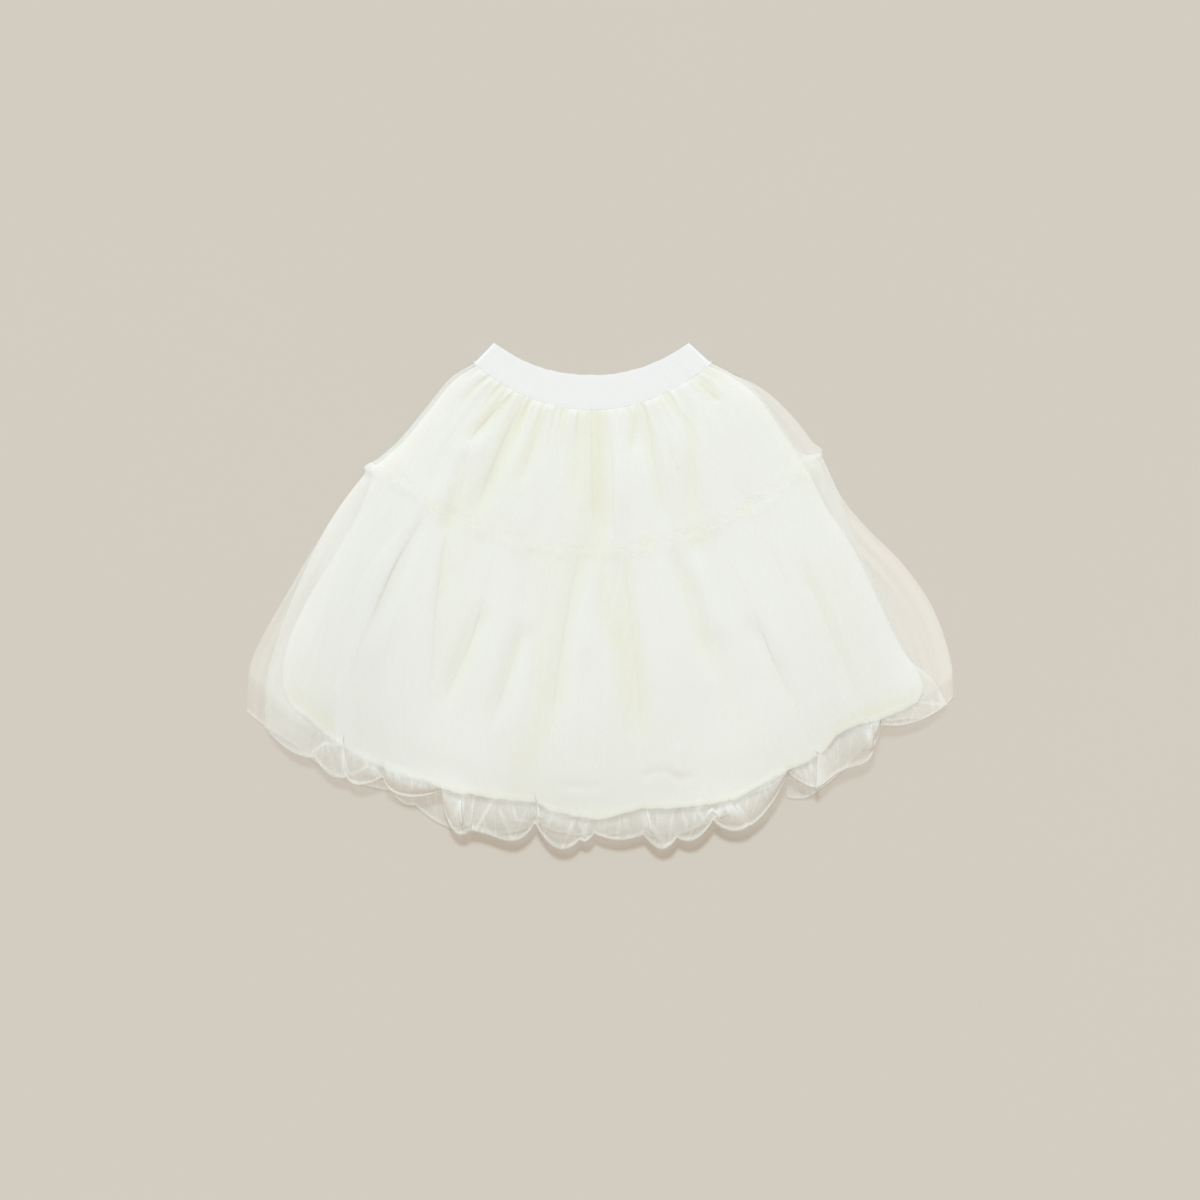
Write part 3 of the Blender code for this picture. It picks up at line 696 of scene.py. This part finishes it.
lowerTulle = {
    "columns": 640, "backColumns": 320,
    "topRows": 38, "puffRows": 20, "turnRows": 5, "returnRows": 8,
    "turnRadius": 1.7, "cornerRadius": 1.0, "cornerShare": 0.14,
    "turnBottom": 3.3, "cornerBottom": 2.0,
    "lift": 5.0,          # how far a full puff stands up
    "leastLayers": 1.2,   # net no thinner than this reads as an even sheer layer
    "puffLayers": 1.15, "foldLayers": 1.8, "lineLayers": 3.4, "rimLayers": 0.8,
    "returnLayers": 0.2,  # the turned-under net is pulled wider, so it is more open
    # How strongly the puffs take the warm colour: painted shade for the shadowed floor seen through them.
    "puffShadeTint": 0.35,
    "shadow": 0.13, "leftShadow": 0.17, "puffShadow": 0.06, "edgeShadow": 0.40,  # how dark each throws
    "brighter": 0.10,     # how much weaker the shadow is over the two brightest parts
    "puffsFrom": -249.0,  # left of this the net hangs smooth
    "seamLow": 2.8,       # the lowest that the front's net is sewn back to the lining
    "backSeam": 2.4,      # and the height where the back's is
}
lowerTulle["rows"] = sum(lowerTulle[key] for key in ("topRows", "puffRows", "turnRows", "returnRows"))

# How many layers of net the gathers put on each other across the lower tier: x, layers.
lowerGathers = [(-300, 1.8), (-262, 3), (-230, 3.8), (-190, 3.2), (-160, 2.4), (-125, 1.3), (-80, 1),
                (-20, 1.1), (60, 1), (120, 1.2), (180, 1.6), (220, 1.9), (260, 1.8), (300, 1.5)]

lowerPleats = [
    (-131, 58, -144, -84, 3, 3, 4, 0.75, 1.6, -14, 1.2),
    (-103, -15, -136, -92, -2, 3, 3.6, 0.7, 1.4, -10, 1.2),
    (-66, -31, -91, -107, 0, 3.2, 4.4, 0.6, 1.2, 13, 1.3),
    (-18, 38, -42, -116, 2, 3.2, 5, 0.7, 0.9, 16, 1.1),
    (19, 34, 35, -128, -2, 3.2, 4.4, 0.65, -1.1, -12, 1.1),
    (64, 34, 100, -64, 3, 3, 4, 0.6, -1.3, 16, 1.2),
    (83, 34, 95, -31, 0, 2.6, 3.2, 0.6, 1.2, 9, 0.9),
    (132, -23, 169, -95, 0, 3, 4, 0.6, -0.8, 15, 1.3),
    (173, 26, 222, -88, 0, 3, 4, 0.65, -1.4, -18, 1.4),
    (-150, 70, -196, -30, 4, 3.6, 5, 0.5, 1.2),
    (-212, 60, -250, -60, 3, 4, 5, 0.55, 1.2),
    (-170, 40, -222, -90, 3, 4, 5, 0.45, 1.1),
    (-90, 40, -112, -60, 1, 3.2, 4.2, 0.45, 1),
    (-40, 36, -66, -120, 2, 3.4, 5, 0.5, 1.1),
    (2, 30, 0, -140, 0, 3.4, 5, 0.5, 1.1),
    (44, 34, 62, -130, -2, 3.4, 5, 0.5, -1.1),
    (112, 30, 150, -60, -2, 3.4, 4.6, 0.5, -1.1),
    (140, 50, 196, -60, -3, 3.4, 4.6, 0.5, -1.1),
    (190, 70, 236, -20, -3, 3.4, 4.6, 0.5, -1.1),
]

# Net of the lower tier folded over on itself: from x, y to x, y, bow, reach, layers.
lowerFolds = foldsOf(lowerPleats) + [
    (-226.5, -70, -226, -126, 0, 16, 1.6),
    (-139, 2, -143, -84, 1, 9, 0.9),
]

# Folds of the front puffs, which stack three layers of net into whiter bands.
puffPleats = [
    (-219.5, -124, -214, -155.5, 1.5, 2.6, 2.4, 0.9, 1.2),
    (-120, -174, -118.5, -197, 0, 3, 2.6, 1, 1.2),
    (-107, -172, -111, -199, 0, 2.6, 2.2, 0.8, 1),
    (-54, -176, -52, -190, 0, 2.8, 2.6, 0.9, 1),
    (40, -183, 44, -203, 0, 3.4, 2.6, 0.9, 1),
    (96, -182, 103, -190, 0, 3, 2.6, 0.9, 1),
    (111, -176, 129, -198, 0, 2.4, 2.2, 0.8, 1),
    (187.5, -134, 185.5, -171, 0, 3, 2.6, 1, -1.2),
    (232, -107.5, 234, -132, 0, 2.6, 2.4, 0.8, 1),
    (271, -57, 288, -72, -2, 3, 3.2, 1, 1.2),
    (288, -72, 297, -94, 0, 3.2, 2.6, 1, 1.2),
]

# Thin doubled lines where the puffs are folded: width, then the points each runs through.
puffLines = [
    (1.3, (-221, -129), (-217.5, -153), (-210, -161)),
    (1.3, (-203, -137), (-193.5, -151.5), (-184, -163.5)),
    (1.1, (-199.5, -139), (-190, -152), (-181, -162)),
    (1.3, (-217.5, -155), (-199.5, -146)),
    (1.2, (-247, -134), (-236, -126), (-224, -127.5)),
    (1.2, (-173.5, -167), (-154, -170), (-137.5, -165)),
    (1.3, (-131.5, -198), (-122, -183), (-116, -171)),
    (2, (-122, -195), (-117, -175.5)),
    (1.4, (-113.5, -195), (-106, -199.5), (-98, -185), (-92, -175.5)),
    (1.3, (-86, -183), (-75.5, -207)),
    (1.3, (-75.5, -175.5), (-71.5, -191), (-53.5, -193.5)),
    (1.3, (-59.5, -177), (-51.5, -191)),
    (1.3, (-32, -215), (-24, -195), (-20, -189)),
    (1.2, (-18, -193.5), (-9.5, -209)),
    (1.3, (38.5, -184), (47.5, -202), (57.5, -216.5)),
    (1.3, (62.5, -184), (58.5, -216.5)),
    (1.1, (70, -181), (74, -196)),
    (1.3, (81.5, -179.5), (90.5, -194.5)),
    (2.6, (92, -190), (102.5, -184)),
    (1.1, (108, -178), (114, -192)),
    (1.4, (117, -178), (127.5, -196)),
    (1.3, (160, -155.5), (172, -163.5), (185, -171)),
    (1.3, (175.5, -149), (184, -169.5)),
    (1.8, (189, -136.5), (185.5, -171)),
    (1.2, (179, -130.5), (182.5, -169.5)),
    (1.4, (229, -110), (232, -130.5)),
    (1.3, (240, -107.5), (235, -134)),
    (2, (273.5, -58.5), (287, -70.5), (296, -93.5)),
    (1.3, (266.5, -89.5), (296, -93.5)),
]


# The height of the front tulle, without its pleats and gathers.
def frontTulleTop(across, down, x, y):
    sideTop = sectionAt("sideTop", down)
    rise = sectionAt("liningTop", down) - 3.6
    spare = sectionAt("tulleTop", down) - sideTop - rise
    return sideTop + sideEnvelope(across) * (spare + rise * (1 + foldShare(x, y)))


# How near a point is to the seam between the tiers, from 0 to 1.
def nearTier(down):
    return hump(down, seams["tier"], 0.012)


# The height of the lining under a point of the front tulle, or of the back panel past its edge.
def liningUnder(across, down, x, y):
    left, right = liningSides(down)
    share = 2 * (across - left) / (right - left) - 1
    z, warmth = liningTop(np.clip(share, -1, 1), down, x, y)
    return np.where((np.abs(share) < 1.02) & (down < hemDown(across)), z, 1.2)


def overLining(z, across, down, x, y):
    return softMax(z, liningUnder(across, down, x, y) + seams["clearance"])


# Shares of the lower tier's four runs of rows: down to the lining's hem, out over the puff, round
# its turned edge, and back underneath to the hem.
def lowerRuns(row):
    shares, first = [], 0
    for key in ("topRows", "puffRows", "turnRows", "returnRows"):
        shares.append(np.clip((row - first) / lowerTulle[key], 0, 1))
        first += lowerTulle[key]
    return shares


# Moves the rows past the hem into place, and says how far each lies up from the bottom edge. Back
# is how far the turned-under net comes back.
def pastHem(x, y, puffShare, turnShare, returnShare, edge, radius, back):
    edgeX, edgeY, seamX, seamY, length = edge
    outer = (1 - puffShare) * (length - radius) + radius
    turning = radius * (1 - np.sin(math.pi * turnShare))
    inset = np.where(returnShare > 0, radius + returnShare * back, np.where(turnShare > 0, turning, outer))
    x = np.where(puffShare > 0, edgeX + (seamX - edgeX) * inset / length, x)
    y = np.where(puffShare > 0, edgeY + (seamY - edgeY) * inset / length, y)
    return x, y, inset


# How near the bottom edge a point of a puff is, less towards the sides.
def edgeShare(inset, length, across):
    return ease((0.5 - inset / length) / 0.35) * (1 - 0.75 * ease((np.abs(across) - 0.25) / 0.45))


def lowerFrontPlace(share, row):
    s = lowerTulle
    topShare, puffShare, turnShare, returnShare = lowerRuns(row)
    inPuff, inTurn, inReturn = puffShare > 0, turnShare > 0, returnShare > 0
    topShare = topShare ** 1.25
    own, u = crowded(share), 0.5 * (share + 1)
    hem = hemDown(frontAcross(own, 0.95))
    down = lowerStart + (hem - lowerStart) * topShare
    downNow = down + puffShare * (1 - hem)
    across = frontAcross(own, downNow)
    *edge, length, bulge = hemLine(frontPuffs, across, hem)
    openness = ease((1 - np.abs(own)) / s["cornerShare"])
    radius = np.minimum(s["cornerRadius"] + openness * (s["turnRadius"] - s["cornerRadius"]), 0.3 * length)
    x, y, inset = pastHem(*skirtPoint(across, down), puffShare, turnShare, returnShare, (*edge, length),
                          radius, 0.8 + openness * (length - radius - 0.8))

    sides = sideEnvelope(own)
    lift = s["lift"] * np.minimum(1, bulge / 10) * np.sin(math.pi * np.minimum(1, puffShare + 0.1))
    top = frontTulleTop(own, downNow, x, y) + np.where(inPuff, openness * lift, 0)
    away = np.maximum(downNow - seams["tier"], 0)
    fine = (noises(u, topShare, (1.0, 26, 2, 12), (0.3, 60, 2, 11))
            + 0.4 * softNoise(u, topShare, 150, 2, 10) * np.exp(-away / 0.03))
    lap, mirrored = laps(u, topShare, 26, 81), laps(1 - u, topShare, 17, 82)
    free = 1 - nearTier(downNow)
    top = top + sides * free * (fine * (0.4 + 0.6 * np.exp(-away / 0.10)) + 0.35 * (lap + mirrored))
    creases = 0.5 * softNoise(u, puffShare, 50, 1, 13) + 0.2 * sharpNoise(u, puffShare, 70, 1, 18)
    top = top + np.where(inPuff, creases * openness * ease(puffShare * 3), 0)
    top = np.where(inPuff, top, overLining(top, across, down, x, y))
    bottom = s["cornerBottom"] + openness * (s["turnBottom"] - s["cornerBottom"])
    turned = 0.5 * (top + bottom) + 0.5 * (top - bottom) * np.cos(math.pi * turnShare)
    gathered = 0.2 * sharpNoise(u, returnShare, 120, 1, 14) + 0.3 * softNoise(u, returnShare, 60, 1, 15)
    seamZ = np.maximum(liningUnder(across, hem - 0.002, edge[2], edge[3]) - 0.9, s["seamLow"])
    returned = bottom + openness * (gathered * returnShare + 0.5 * np.sin(math.pi * returnShare)
                                    + (seamZ - bottom) * ease(returnShare * 1.4 - 0.4))
    z = np.where(inReturn, returned, np.where(inTurn, turned, top))

    x, y, z, more = pleat(x, y, z, lowerPleats, sides * free * (1 - ease(turnShare)), 0.35)
    x, y, z, puffMore = pleat(x, y, z, puffPleats, sides * (1 - 0.9 * ease(returnShare)))
    z = np.where(inPuff, z, overLining(z, across, down, x, y))

    gathers = np.interp(x, *zip(*lowerGathers)) * (1 + 0.5 * np.exp(-away / 0.06))
    streaks = noises(u, topShare, (0.05, 110, 2, 16), (0.32, 34, 2, 17), (0.3, 13, 3, 20))
    layers = gathers * (1 + streaks + 0.5 * more) + 1.1 * lap + 0.8 * mirrored + foldedOver(x, y, lowerFolds)
    layers = np.maximum(layers * (1 - 0.4 * nearLines(x, y, creamPatches)), s["leastLayers"])
    lines = nearLines(x, y, puffLines) * (1 - inReturn)
    rim = hump(inset, 0, 1.6) * (1 - inReturn)
    radial = softNoise(u, 0 * u, 210, 1, 83) * hump(length - inset, 0, 9)
    uneven = 0.5 * softNoise(u, puffShare, 40, 1, 19) + 1.4 * radial + 1.5 * returnShare ** 3
    puffStart = ease(puffShare * 2.5)
    puffed = puffStart * ease((x - s["puffsFrom"]) / 3)
    puff = s["puffLayers"] * (1 + uneven) * (1 + s["foldLayers"] * puffMore)
    puff = puff + s["lineLayers"] * lines + s["rimLayers"] * rim
    layers = layers * (1 - 0.5 * puffStart)
    layers = layers + (puff - layers) * puffed
    layers = np.where(inReturn, s["returnLayers"] * ease((0.97 - np.abs(own)) / 0.08) * layers,
                      np.maximum(layers, s["leastLayers"]))
    nearEdge = edgeShare(inset, length, across) * (1 + 0.35 * hump(x, 110, 35))
    bright = hump(x, -127, 40) + hump(x, 115, 45)
    flatShadow = s["shadow"] + s["leftShadow"] * hump(x, -215, 45)
    flatShadow = flatShadow - s["brighter"] * bright * ease((downNow - 0.66) / 0.12)
    shade = flatShadow + (s["puffShadow"] + s["edgeShadow"] * nearEdge - flatShadow) * puffStart
    shade = np.where(inReturn, 0.08 + 0.25 * nearEdge, shade)
    shade = shade * (1 - 0.5 * ease((np.abs(across) - 0.88) / 0.1))
    # The puffs' warm tint is painted shade for the brown shadowed floor under them; their fold lines stay
    # clear of it. The sides are warmer too.
    warmth = 0.3 * ease((np.abs(across) - 0.9) / 0.06) + s["puffShadeTint"] * puffed * (1 - lines)
    facts = {"layers": np.clip(layers, 0, 8), "shade": shade, "warmth": warmth,
             "crumpling": puffed * np.where(inReturn, 0.5, 1.0), "crumpleDown": inset + 60 * inReturn}
    return x, y, z, facts


upperTulle = {"counts": (420, 64), "backCounts": (300, 24), "tuck": 3.0, "tuckTop": 3.4}

upperPleats = [
    (-75, 176, -112, 134, 0, 2.8, 3.6, 0.8, 1.6, 12, 1.2),
    (-113, 133, -129, 56, -2, 2.8, 3.4, 0.65, 1.3, -16, 1.2),
    (-64, 170, -104, 76, 3, 3, 4.4, 0.7, 0.9, -9, 0.9),
    (-45, 164, -68, 100, 0, 2.6, 3.4, 0.6, 1.3, 14, 1.1),
    (-20, 159, -21, 90, 0, 2.6, 3.2, 0.55, 1.2),
    (-8, 158, -6, 52, 0, 2.6, 3.4, 0.65, 1.4, -7, 1),
    (10, 158, 12, 52, 0, 2.6, 3.4, 0.65, -1.4, 10, 1.2),
    (31, 161, 27, 124, 0, 2.6, 3.2, 0.6, 1.2, 8, 0.9),
    (41, 152, 55, 66, 0, 2.8, 3.6, 0.65, -1.4, 14, 1),
    (57, 170, 70, 153, 0, 2.2, 2.6, 0.6, -1.2),
    (57, 144, 65, 109, 0, 2.4, 3, 0.5, -1.1),
    (79, 158, 82, 74, 0, 2.8, 3.6, 0.6, -1.3, 18, 1.1),
    (82, 188, 99, 169, 0, 2.2, 2.6, 0.6, -1.2, 8, 0.8),
    (-90, 184, -146, 110, 3, 2.6, 4.4, 0.5, 1.1),
    (-100, 190, -166, 122, 2, 2.6, 4.4, 0.5, 1.1),
    (96, 176, 138, 96, -3, 2.6, 4.4, 0.45, -1),
    (100, 190, 160, 120, -3, 2.6, 4.4, 0.45, -1),
]
upperFolds = foldsOf(upperPleats)


def upperFrontPlace(share, row):
    s = upperTulle
    down, inBand, tuck = tuckedRows(row, s["counts"][1], upperEnd, s["tuck"])
    own = crowded(share)
    across = frontAcross(own, down)
    u, v = 0.5 * (share + 1), down / seams["tier"]
    x, y = skirtPoint(across, down)
    sides = sideEnvelope(own)
    waist = np.exp(-down / 0.05) * ease(down / 0.008)
    tier = np.exp(-(seams["tier"] - down) / 0.03)
    lap, mirrored = laps(u, v, 20, 84), laps(1 - u, v, 14, 85)
    fine = noises(u, v, (1.0, 26, 2, 21), (0.3, 60, 2, 22)) + softNoise(u, v, 70, 2, 23) * waist
    free = 1 - nearTier(down)
    z = frontTulleTop(own, down, x, y) + sides * free * (fine * (0.25 + 0.9 * waist + 0.4 * tier)
                                                         + 0.35 * (lap + mirrored) * ease(down / 0.03))
    z = overLining(z - 0.7 * np.exp(-down / 0.010), across, down, x, y)
    x, y, z, more = pleat(x, y, z, upperPleats, sides * free * ease(down / 0.01), 0.35)
    z = overLining(z, across, down, x, y)
    streaks = noises(u, v, (0.05, 110, 2, 24), (0.3, 30, 2, 25), (0.3, 12, 2, 26))
    gathers = np.maximum(0, softNoise(u, v, 70, 2, 27)) * np.exp(-down / 0.05)
    layers = (1.0 + 0.3 * waist + 0.3 * tier + 1.8 * gathers) * (1 + streaks + 0.5 * more)
    layers = layers + 0.8 * lap + 0.6 * mirrored + foldedOver(x, y, upperFolds)
    layers = layers + 1.2 * ease((np.abs(across) - 0.86) / 0.12)
    shade = 0.13 - 0.06 * ease((np.abs(across) - 0.88) / 0.1) - 0.06 * tier
    facts = {"layers": np.maximum(layers, lowerTulle["leastLayers"]), "shade": shade,
             "warmth": 0.3 * waist + 0.5 * ease((np.abs(across) - 0.88) / 0.08)}
    return x, y + tuck, z + (s["tuckTop"] - z) * inBand, facts


def upperBackPlace(share, row):
    down, inBand, tuck = tuckedRows(row, upperTulle["backCounts"][1], upperEnd, upperTulle["tuck"])
    x, y = skirtPoint(crowded(share), down)
    z = 0.25 + 0.3 * (softNoise(0.5 * (share + 1), down, 90, 2, 31) + 1) + 1.1 * inBand
    side = ease((np.abs(share) - 0.75) / 0.15)
    layers = 1.2 + side * np.where(share > 0, 3.4, 1.6)
    return x, y + tuck, z, {"layers": layers, "shade": 0.08, "warmth": 0.7 * side}


def lowerBackPlace(share, row):
    topShare, puffShare, turnShare, returnShare = lowerRuns(row)
    inReturn = returnShare > 0
    across, u = crowded(share), 0.5 * (share + 1)
    hem = hemDown(across)
    *edge, length, bulge = hemLine(backPuffs, across, hem)
    radius = 0.4 + 0.6 * ease((1 - np.abs(across)) / lowerTulle["cornerShare"])
    x, y = skirtPoint(across, lowerStart + (hem - lowerStart) * topShare)
    x, y, inset = pastHem(x, y, puffShare, turnShare, returnShare, (*edge, length), radius,
                          length - radius - 0.5)
    ground = 0.25 + 0.25 * (softNoise(u, topShare, 110, 3, 32) + 1)
    turned = ground + radius * (1 - np.cos(math.pi * turnShare))
    creases = 1 + sharpNoise(u, returnShare, 150, 1, 33)
    returned = ground + 2 * radius - 0.4 * np.sin(math.pi * returnShare) * creases
    z = np.where(inReturn, returned + (lowerTulle["backSeam"] - returned) * ease(returnShare), turned)
    side = ease((np.abs(across) - 0.75) / 0.12)
    puffed = ease(puffShare * 2.5)
    layers = 1.0 + side * np.where(across > 0, 3.4, 2.0)
    layers = layers * (1 + 0.25 * softNoise(u, topShare, 120, 2, 34))
    layers = np.maximum(layers * (1 - (0.1 + 0.3 * side) * puffed), 1.05) * (1 - inReturn)
    layers = layers + 0.6 * hump(inset, 0, 1.6) * puffed * (1 - inReturn)
    shade = np.where(inReturn, 0.08, 0.08 + 0.20 * edgeShare(inset, length, across) * puffed)
    # The puffs' warm tint is painted shade, as on the front; the sides are warmer too.
    warmth = np.maximum(side * np.where(across > 0, 0.9, 0.6), lowerTulle["puffShadeTint"] * puffed)
    facts = {"layers": layers, "shade": shade, "warmth": warmth,
             "crumpling": 0.5 * puffed * (1 - side), "crumpleDown": inset + 130 + 60 * inReturn}
    return x, y, z, facts


seamLook = {
    "colour": (0.905, 0.900, 0.820), "warm": (0.870, 0.860, 0.700), "mottle": 0.2,
    "roughness": 0.75, "sheen": 0.2, "yarn": 0.6, "bump": 0.15, "bumpHeight": 0.1,
    "counts": (640, 6), "wall": 0.35, "through": 0.78,
    "hemWidth": 4.5, "hemPast": 1.0,
    "tierWidth": 11.0,
}
tierLook = dict(tulleLook, colour=(0.895, 0.905, 0.815), warm=(0.885, 0.885, 0.73), wall=seamLook["wall"])


# The lining's hem, where the end of the tulle is gathered onto it: a narrow ruffled edge.
def hemSeamPlace(front):
    s = seamLook

    def place(share, row):
        across, u, v = crowded(share) * 0.998, 0.5 * (share + 1), row / s["counts"][1]
        uneven = 1 + noises(u, v * 0, (0.5, 150, 1, 51), (0.5, 60, 1, 52))
        reach = v * (s["hemWidth"] + s["hemPast"] * uneven) - s["hemWidth"]
        hem = hemDown(liningAcross(across, seams["hem"]))
        down = hem + reach / seams["hemLength"] - cornerLift(across)
        x, y = skirtPoint(liningAcross(across, down), down)
        ruffle = noises(u, v, (1.0, 200, 1, 53), (0.4, 320, 2, 54))
        facts = {"warmth": np.clip(0.7 - 0.4 * v + 0.25 * ruffle, 0, 1), "through": s["through"]}
        if not front:
            return x, y, 1.75 + 0.05 * ruffle, facts
        z, warmth = liningTop(across, down, x, y)
        edges = ease((v - 0.7) / 0.3) + 1 - ease(v / 0.2)
        return x, y, z + 0.25 + 0.04 * (ruffle + 1.2) * (0.3 + v) - 0.5 * edges, facts
    return place


# The two tiers' gathered edges, over the net on the front and under it on the back.
def tierSeamPlace(front):
    s = seamLook

    def place(share, row):
        across, u, v = crowded(share) * 0.985, 0.5 * (share + 1), row / s["counts"][1]
        uneven = 1 + noises(u, v * 0, (0.15, 110, 1, 61), (0.35, 30, 1, 62))
        down = seams["tier"] + (v - 0.5) * s["tierWidth"] * uneven / seams["skirtLength"]
        x, y = skirtPoint(across, down)
        ruffle = noises(u, v, (1.0, 160, 1, 63), (0.6, 320, 1, 64))
        patches = np.maximum(0, softNoise(u, v * 0, 26, 1, 65))
        layers = np.sin(math.pi * v) ** 1.3 * (0.7 + 0.4 * ruffle + 1.7 * patches)
        facts = {"layers": layers, "shade": 0.05,
                 "warmth": np.clip(0.2 + 0.3 * ruffle + 0.6 * patches, 0, 1)}
        if not front:
            return x, y, 0.1 + 0.05 * (1 + ruffle / 1.6), facts
        z = overLining(frontTulleTop(across, down, x, y), across, down, x, y)
        return x, y, z + 0.35 + 0.05 * ruffle * sideEnvelope(across), facts
    return place


bandLook = {
    "colour": (0.915, 0.930, 0.920), "warm": (0.895, 0.90, 0.87), "mottle": 0.15,
    "roughness": 0.70, "sheen": 0.15, "yarn": 0.8, "bump": 0.20, "bumpHeight": 0.10, "through": 0.75,
    "topLeftX": -91.2, "topRightX": 76.5, "topEndY": 217.6, "topCentreY": 189.8, "round": 2.2,
    "lowUp": 0.3,         # its lower edge is this far above the waist line
    "height": 4.9, "wall": 1.2, "run": 230, "turn": 10, "rows": 26,
}


# One loop of flat tape pressed flat: along the front, round the right end, back and round the left.
def bandPlace(share, row):
    b = bandLook
    run, turn, half = b["run"], b["turn"], 0.5 * b["height"]
    waist = dict(zip(sectionColumns, sections[0]))
    turnShare = b["height"] / (waist["rightX"] - waist["leftX"])
    step = np.round(0.5 * (share + 1) * 2 * (run + turn))
    rightAngle, leftAngle = math.pi * (step - run) / turn, math.pi * (step - 2 * run - turn) / turn
    stretches = [step <= run, step <= run + turn, step <= 2 * run + turn]
    across = np.select(stretches, [(1 - turnShare) * (2 * step / run - 1),
                                   1 - turnShare + turnShare * np.sin(rightAngle),
                                   (1 - turnShare) * (1 - 2 * (step - run - turn) / run)],
                       turnShare - 1 - turnShare * np.sin(leftAngle))
    z = np.select(stretches, [b["height"], half * (1 + np.cos(rightAngle)), 0.0],
                  half * (1 - np.cos(leftAngle)))
    up = 1 - row / b["rows"]
    topX, topY = arcPoint(across, b["topLeftX"], b["topEndY"], b["topRightX"], b["topEndY"],
                          b["topCentreY"], b["round"], b["round"])
    leftY, rightY, centreY = (waist[name] + b["lowUp"] for name in ("leftY", "rightY", "centreY"))
    lowX, lowY = arcPoint(across, waist["leftX"], leftY, waist["rightX"], rightY, centreY,
                          waist["leftRound"], waist["rightRound"])
    u = 0.5 * (across + 1)
    wave = 0.35 * softNoise(u, 0 * u, 34, 1, 71) * up ** 2
    front = np.clip(z / b["height"], 0, 1) ** 4
    pucker = 0.08 * softNoise(u, up, 90, 3, 72) + 0.12 * (1 - up) ** 2 * softNoise(u, up, 150, 2, 73)
    x, y = lowX + up * (topX - lowX), lowY + up * (topY - lowY) + wave
    return x, y, z + front * (pucker - 0.12 * (2 * up - 1) ** 10), {"through": b["through"]}


tulleMaterial = makeTulleMaterial("ivoryTulle", tulleLook)
tierMaterial = makeTulleMaterial("gatheredTulle", tierLook)
liningMaterial = makeClothMaterial("ivoryLining", liningLook)
seamMaterial = makeClothMaterial("creamSeam", seamLook)
bandMaterial = makeClothMaterial("whiteElastic", bandLook)
print("cloths ready")

band = makeSheet("waistBand", (2 * (bandLook["run"] + bandLook["turn"]), bandLook["rows"]), bandPlace,
                 (420, 30), bandLook, bandMaterial, "waistband", closed=True)
liningFront = makeSheet("liningFront", liningLook["frontCounts"], liningPlace(True), (600, 370),
                        liningLook, liningMaterial, "lining_front")
liningBack = makeSheet("liningBack", liningLook["backCounts"], liningPlace(False), (600, 370),
                       liningLook, liningMaterial, "lining_back")
hemSeams = [makeSheet("hemSeam" + side, seamLook["counts"], hemSeamPlace(side == "Front"), (620, 5),
                      seamLook, seamMaterial) for side in ("Front", "Back")]
tierSeams = [makeSheet("tierSeam" + side, seamLook["counts"], tierSeamPlace(side == "Front"), (420, 13),
                       tierLook, tierMaterial, outward=side == "Back") for side in ("Front", "Back")]
upperFront = makeSheet("tulleUpperFront", upperTulle["counts"], upperFrontPlace, (420, 140),
                       tulleLook, tulleMaterial, "tulle_upper_front")
upperBack = makeSheet("tulleUpperBack", upperTulle["backCounts"], upperBackPlace, (420, 140),
                      tulleLook, tulleMaterial, "tulle_upper_back", outward=True)
lowerFront = makeSheet("tulleLowerFront", (lowerTulle["columns"], lowerTulle["rows"]), lowerFrontPlace,
                       (640, 310), tulleLook, tulleMaterial, "tulle_lower_front")
lowerBack = makeSheet("tulleLowerBack", (lowerTulle["backColumns"], lowerTulle["rows"]), lowerBackPlace,
                      (640, 310), tulleLook, tulleMaterial, "tulle_lower_back", outward=True)

studio = {
    "floorColour": (0.682, 0.638, 0.560),
    "floorSize": 60.0,
    "ambient": (1.16, 1.0, 0.857), "ambientStrength": 0.532,
    "sunColour": (0.795, 1.0, 1.18), "sunStrength": 1.86, "sunAngle": 12.0,
    "sunTilt": 45.0, "sunTurn": 6.0,   # degrees down from overhead, and to the left of the waist
    "viewWidth": 1.032, "cameraHeight": 3.0, "centreY": -3.44 * mm, "sensor": 36.0,
}


def makeStudio():
    bpy.ops.object.select_all(action="DESELECT")
    bpy.ops.mesh.primitive_plane_add(size=studio["floorSize"])
    floor = bpy.context.object
    floor.name = "floor"
    material, tree, shader = newMaterial("paleFloor")
    noise = tree.nodes.new("ShaderNodeTexNoise")
    setInputs(noise, {"Scale": 3.0})
    tree.links.new(tree.nodes.new("ShaderNodeTexCoord").outputs["Object"], noise.inputs["Vector"])
    light = tuple(value * 1.01 for value in studio["floorColour"])
    colour = colourMix(tree, noise.outputs["Fac"], studio["floorColour"], light)
    tree.links.new(colour, shader.inputs["Base Color"])
    setInputs(shader, {"Roughness": 0.95, "Specular IOR Level": 0.1})
    floor.data.materials.append(material)

    world = bpy.data.worlds.new("studio")
    world.use_nodes = True
    setInputs(world.node_tree.nodes["Background"], {
        "Color": (*studio["ambient"], 1.0), "Strength": studio["ambientStrength"]})
    bpy.context.scene.world = world

    bpy.ops.object.light_add(type="SUN", location=(-0.6, 1.6, 2.0))
    sun = bpy.context.object
    sun.name = "keyLight"
    sun.data.color = studio["sunColour"]
    sun.data.energy = studio["sunStrength"]
    sun.data.angle = math.radians(studio["sunAngle"])
    sun.rotation_euler = (-math.radians(studio["sunTilt"]), 0, math.radians(studio["sunTurn"]))

    bpy.ops.object.camera_add(location=(0, studio["centreY"], studio["cameraHeight"]), rotation=(0, 0, 0))
    camera = bpy.context.object
    camera.data.sensor_width = studio["sensor"]
    camera.data.lens = studio["sensor"] * studio["cameraHeight"] / studio["viewWidth"]
    scene = bpy.context.scene
    scene.camera = camera
    scene.view_settings.view_transform = "Standard"
    scene.cycles.transparent_max_bounces = 48
    print("studio ready")


makeStudio()
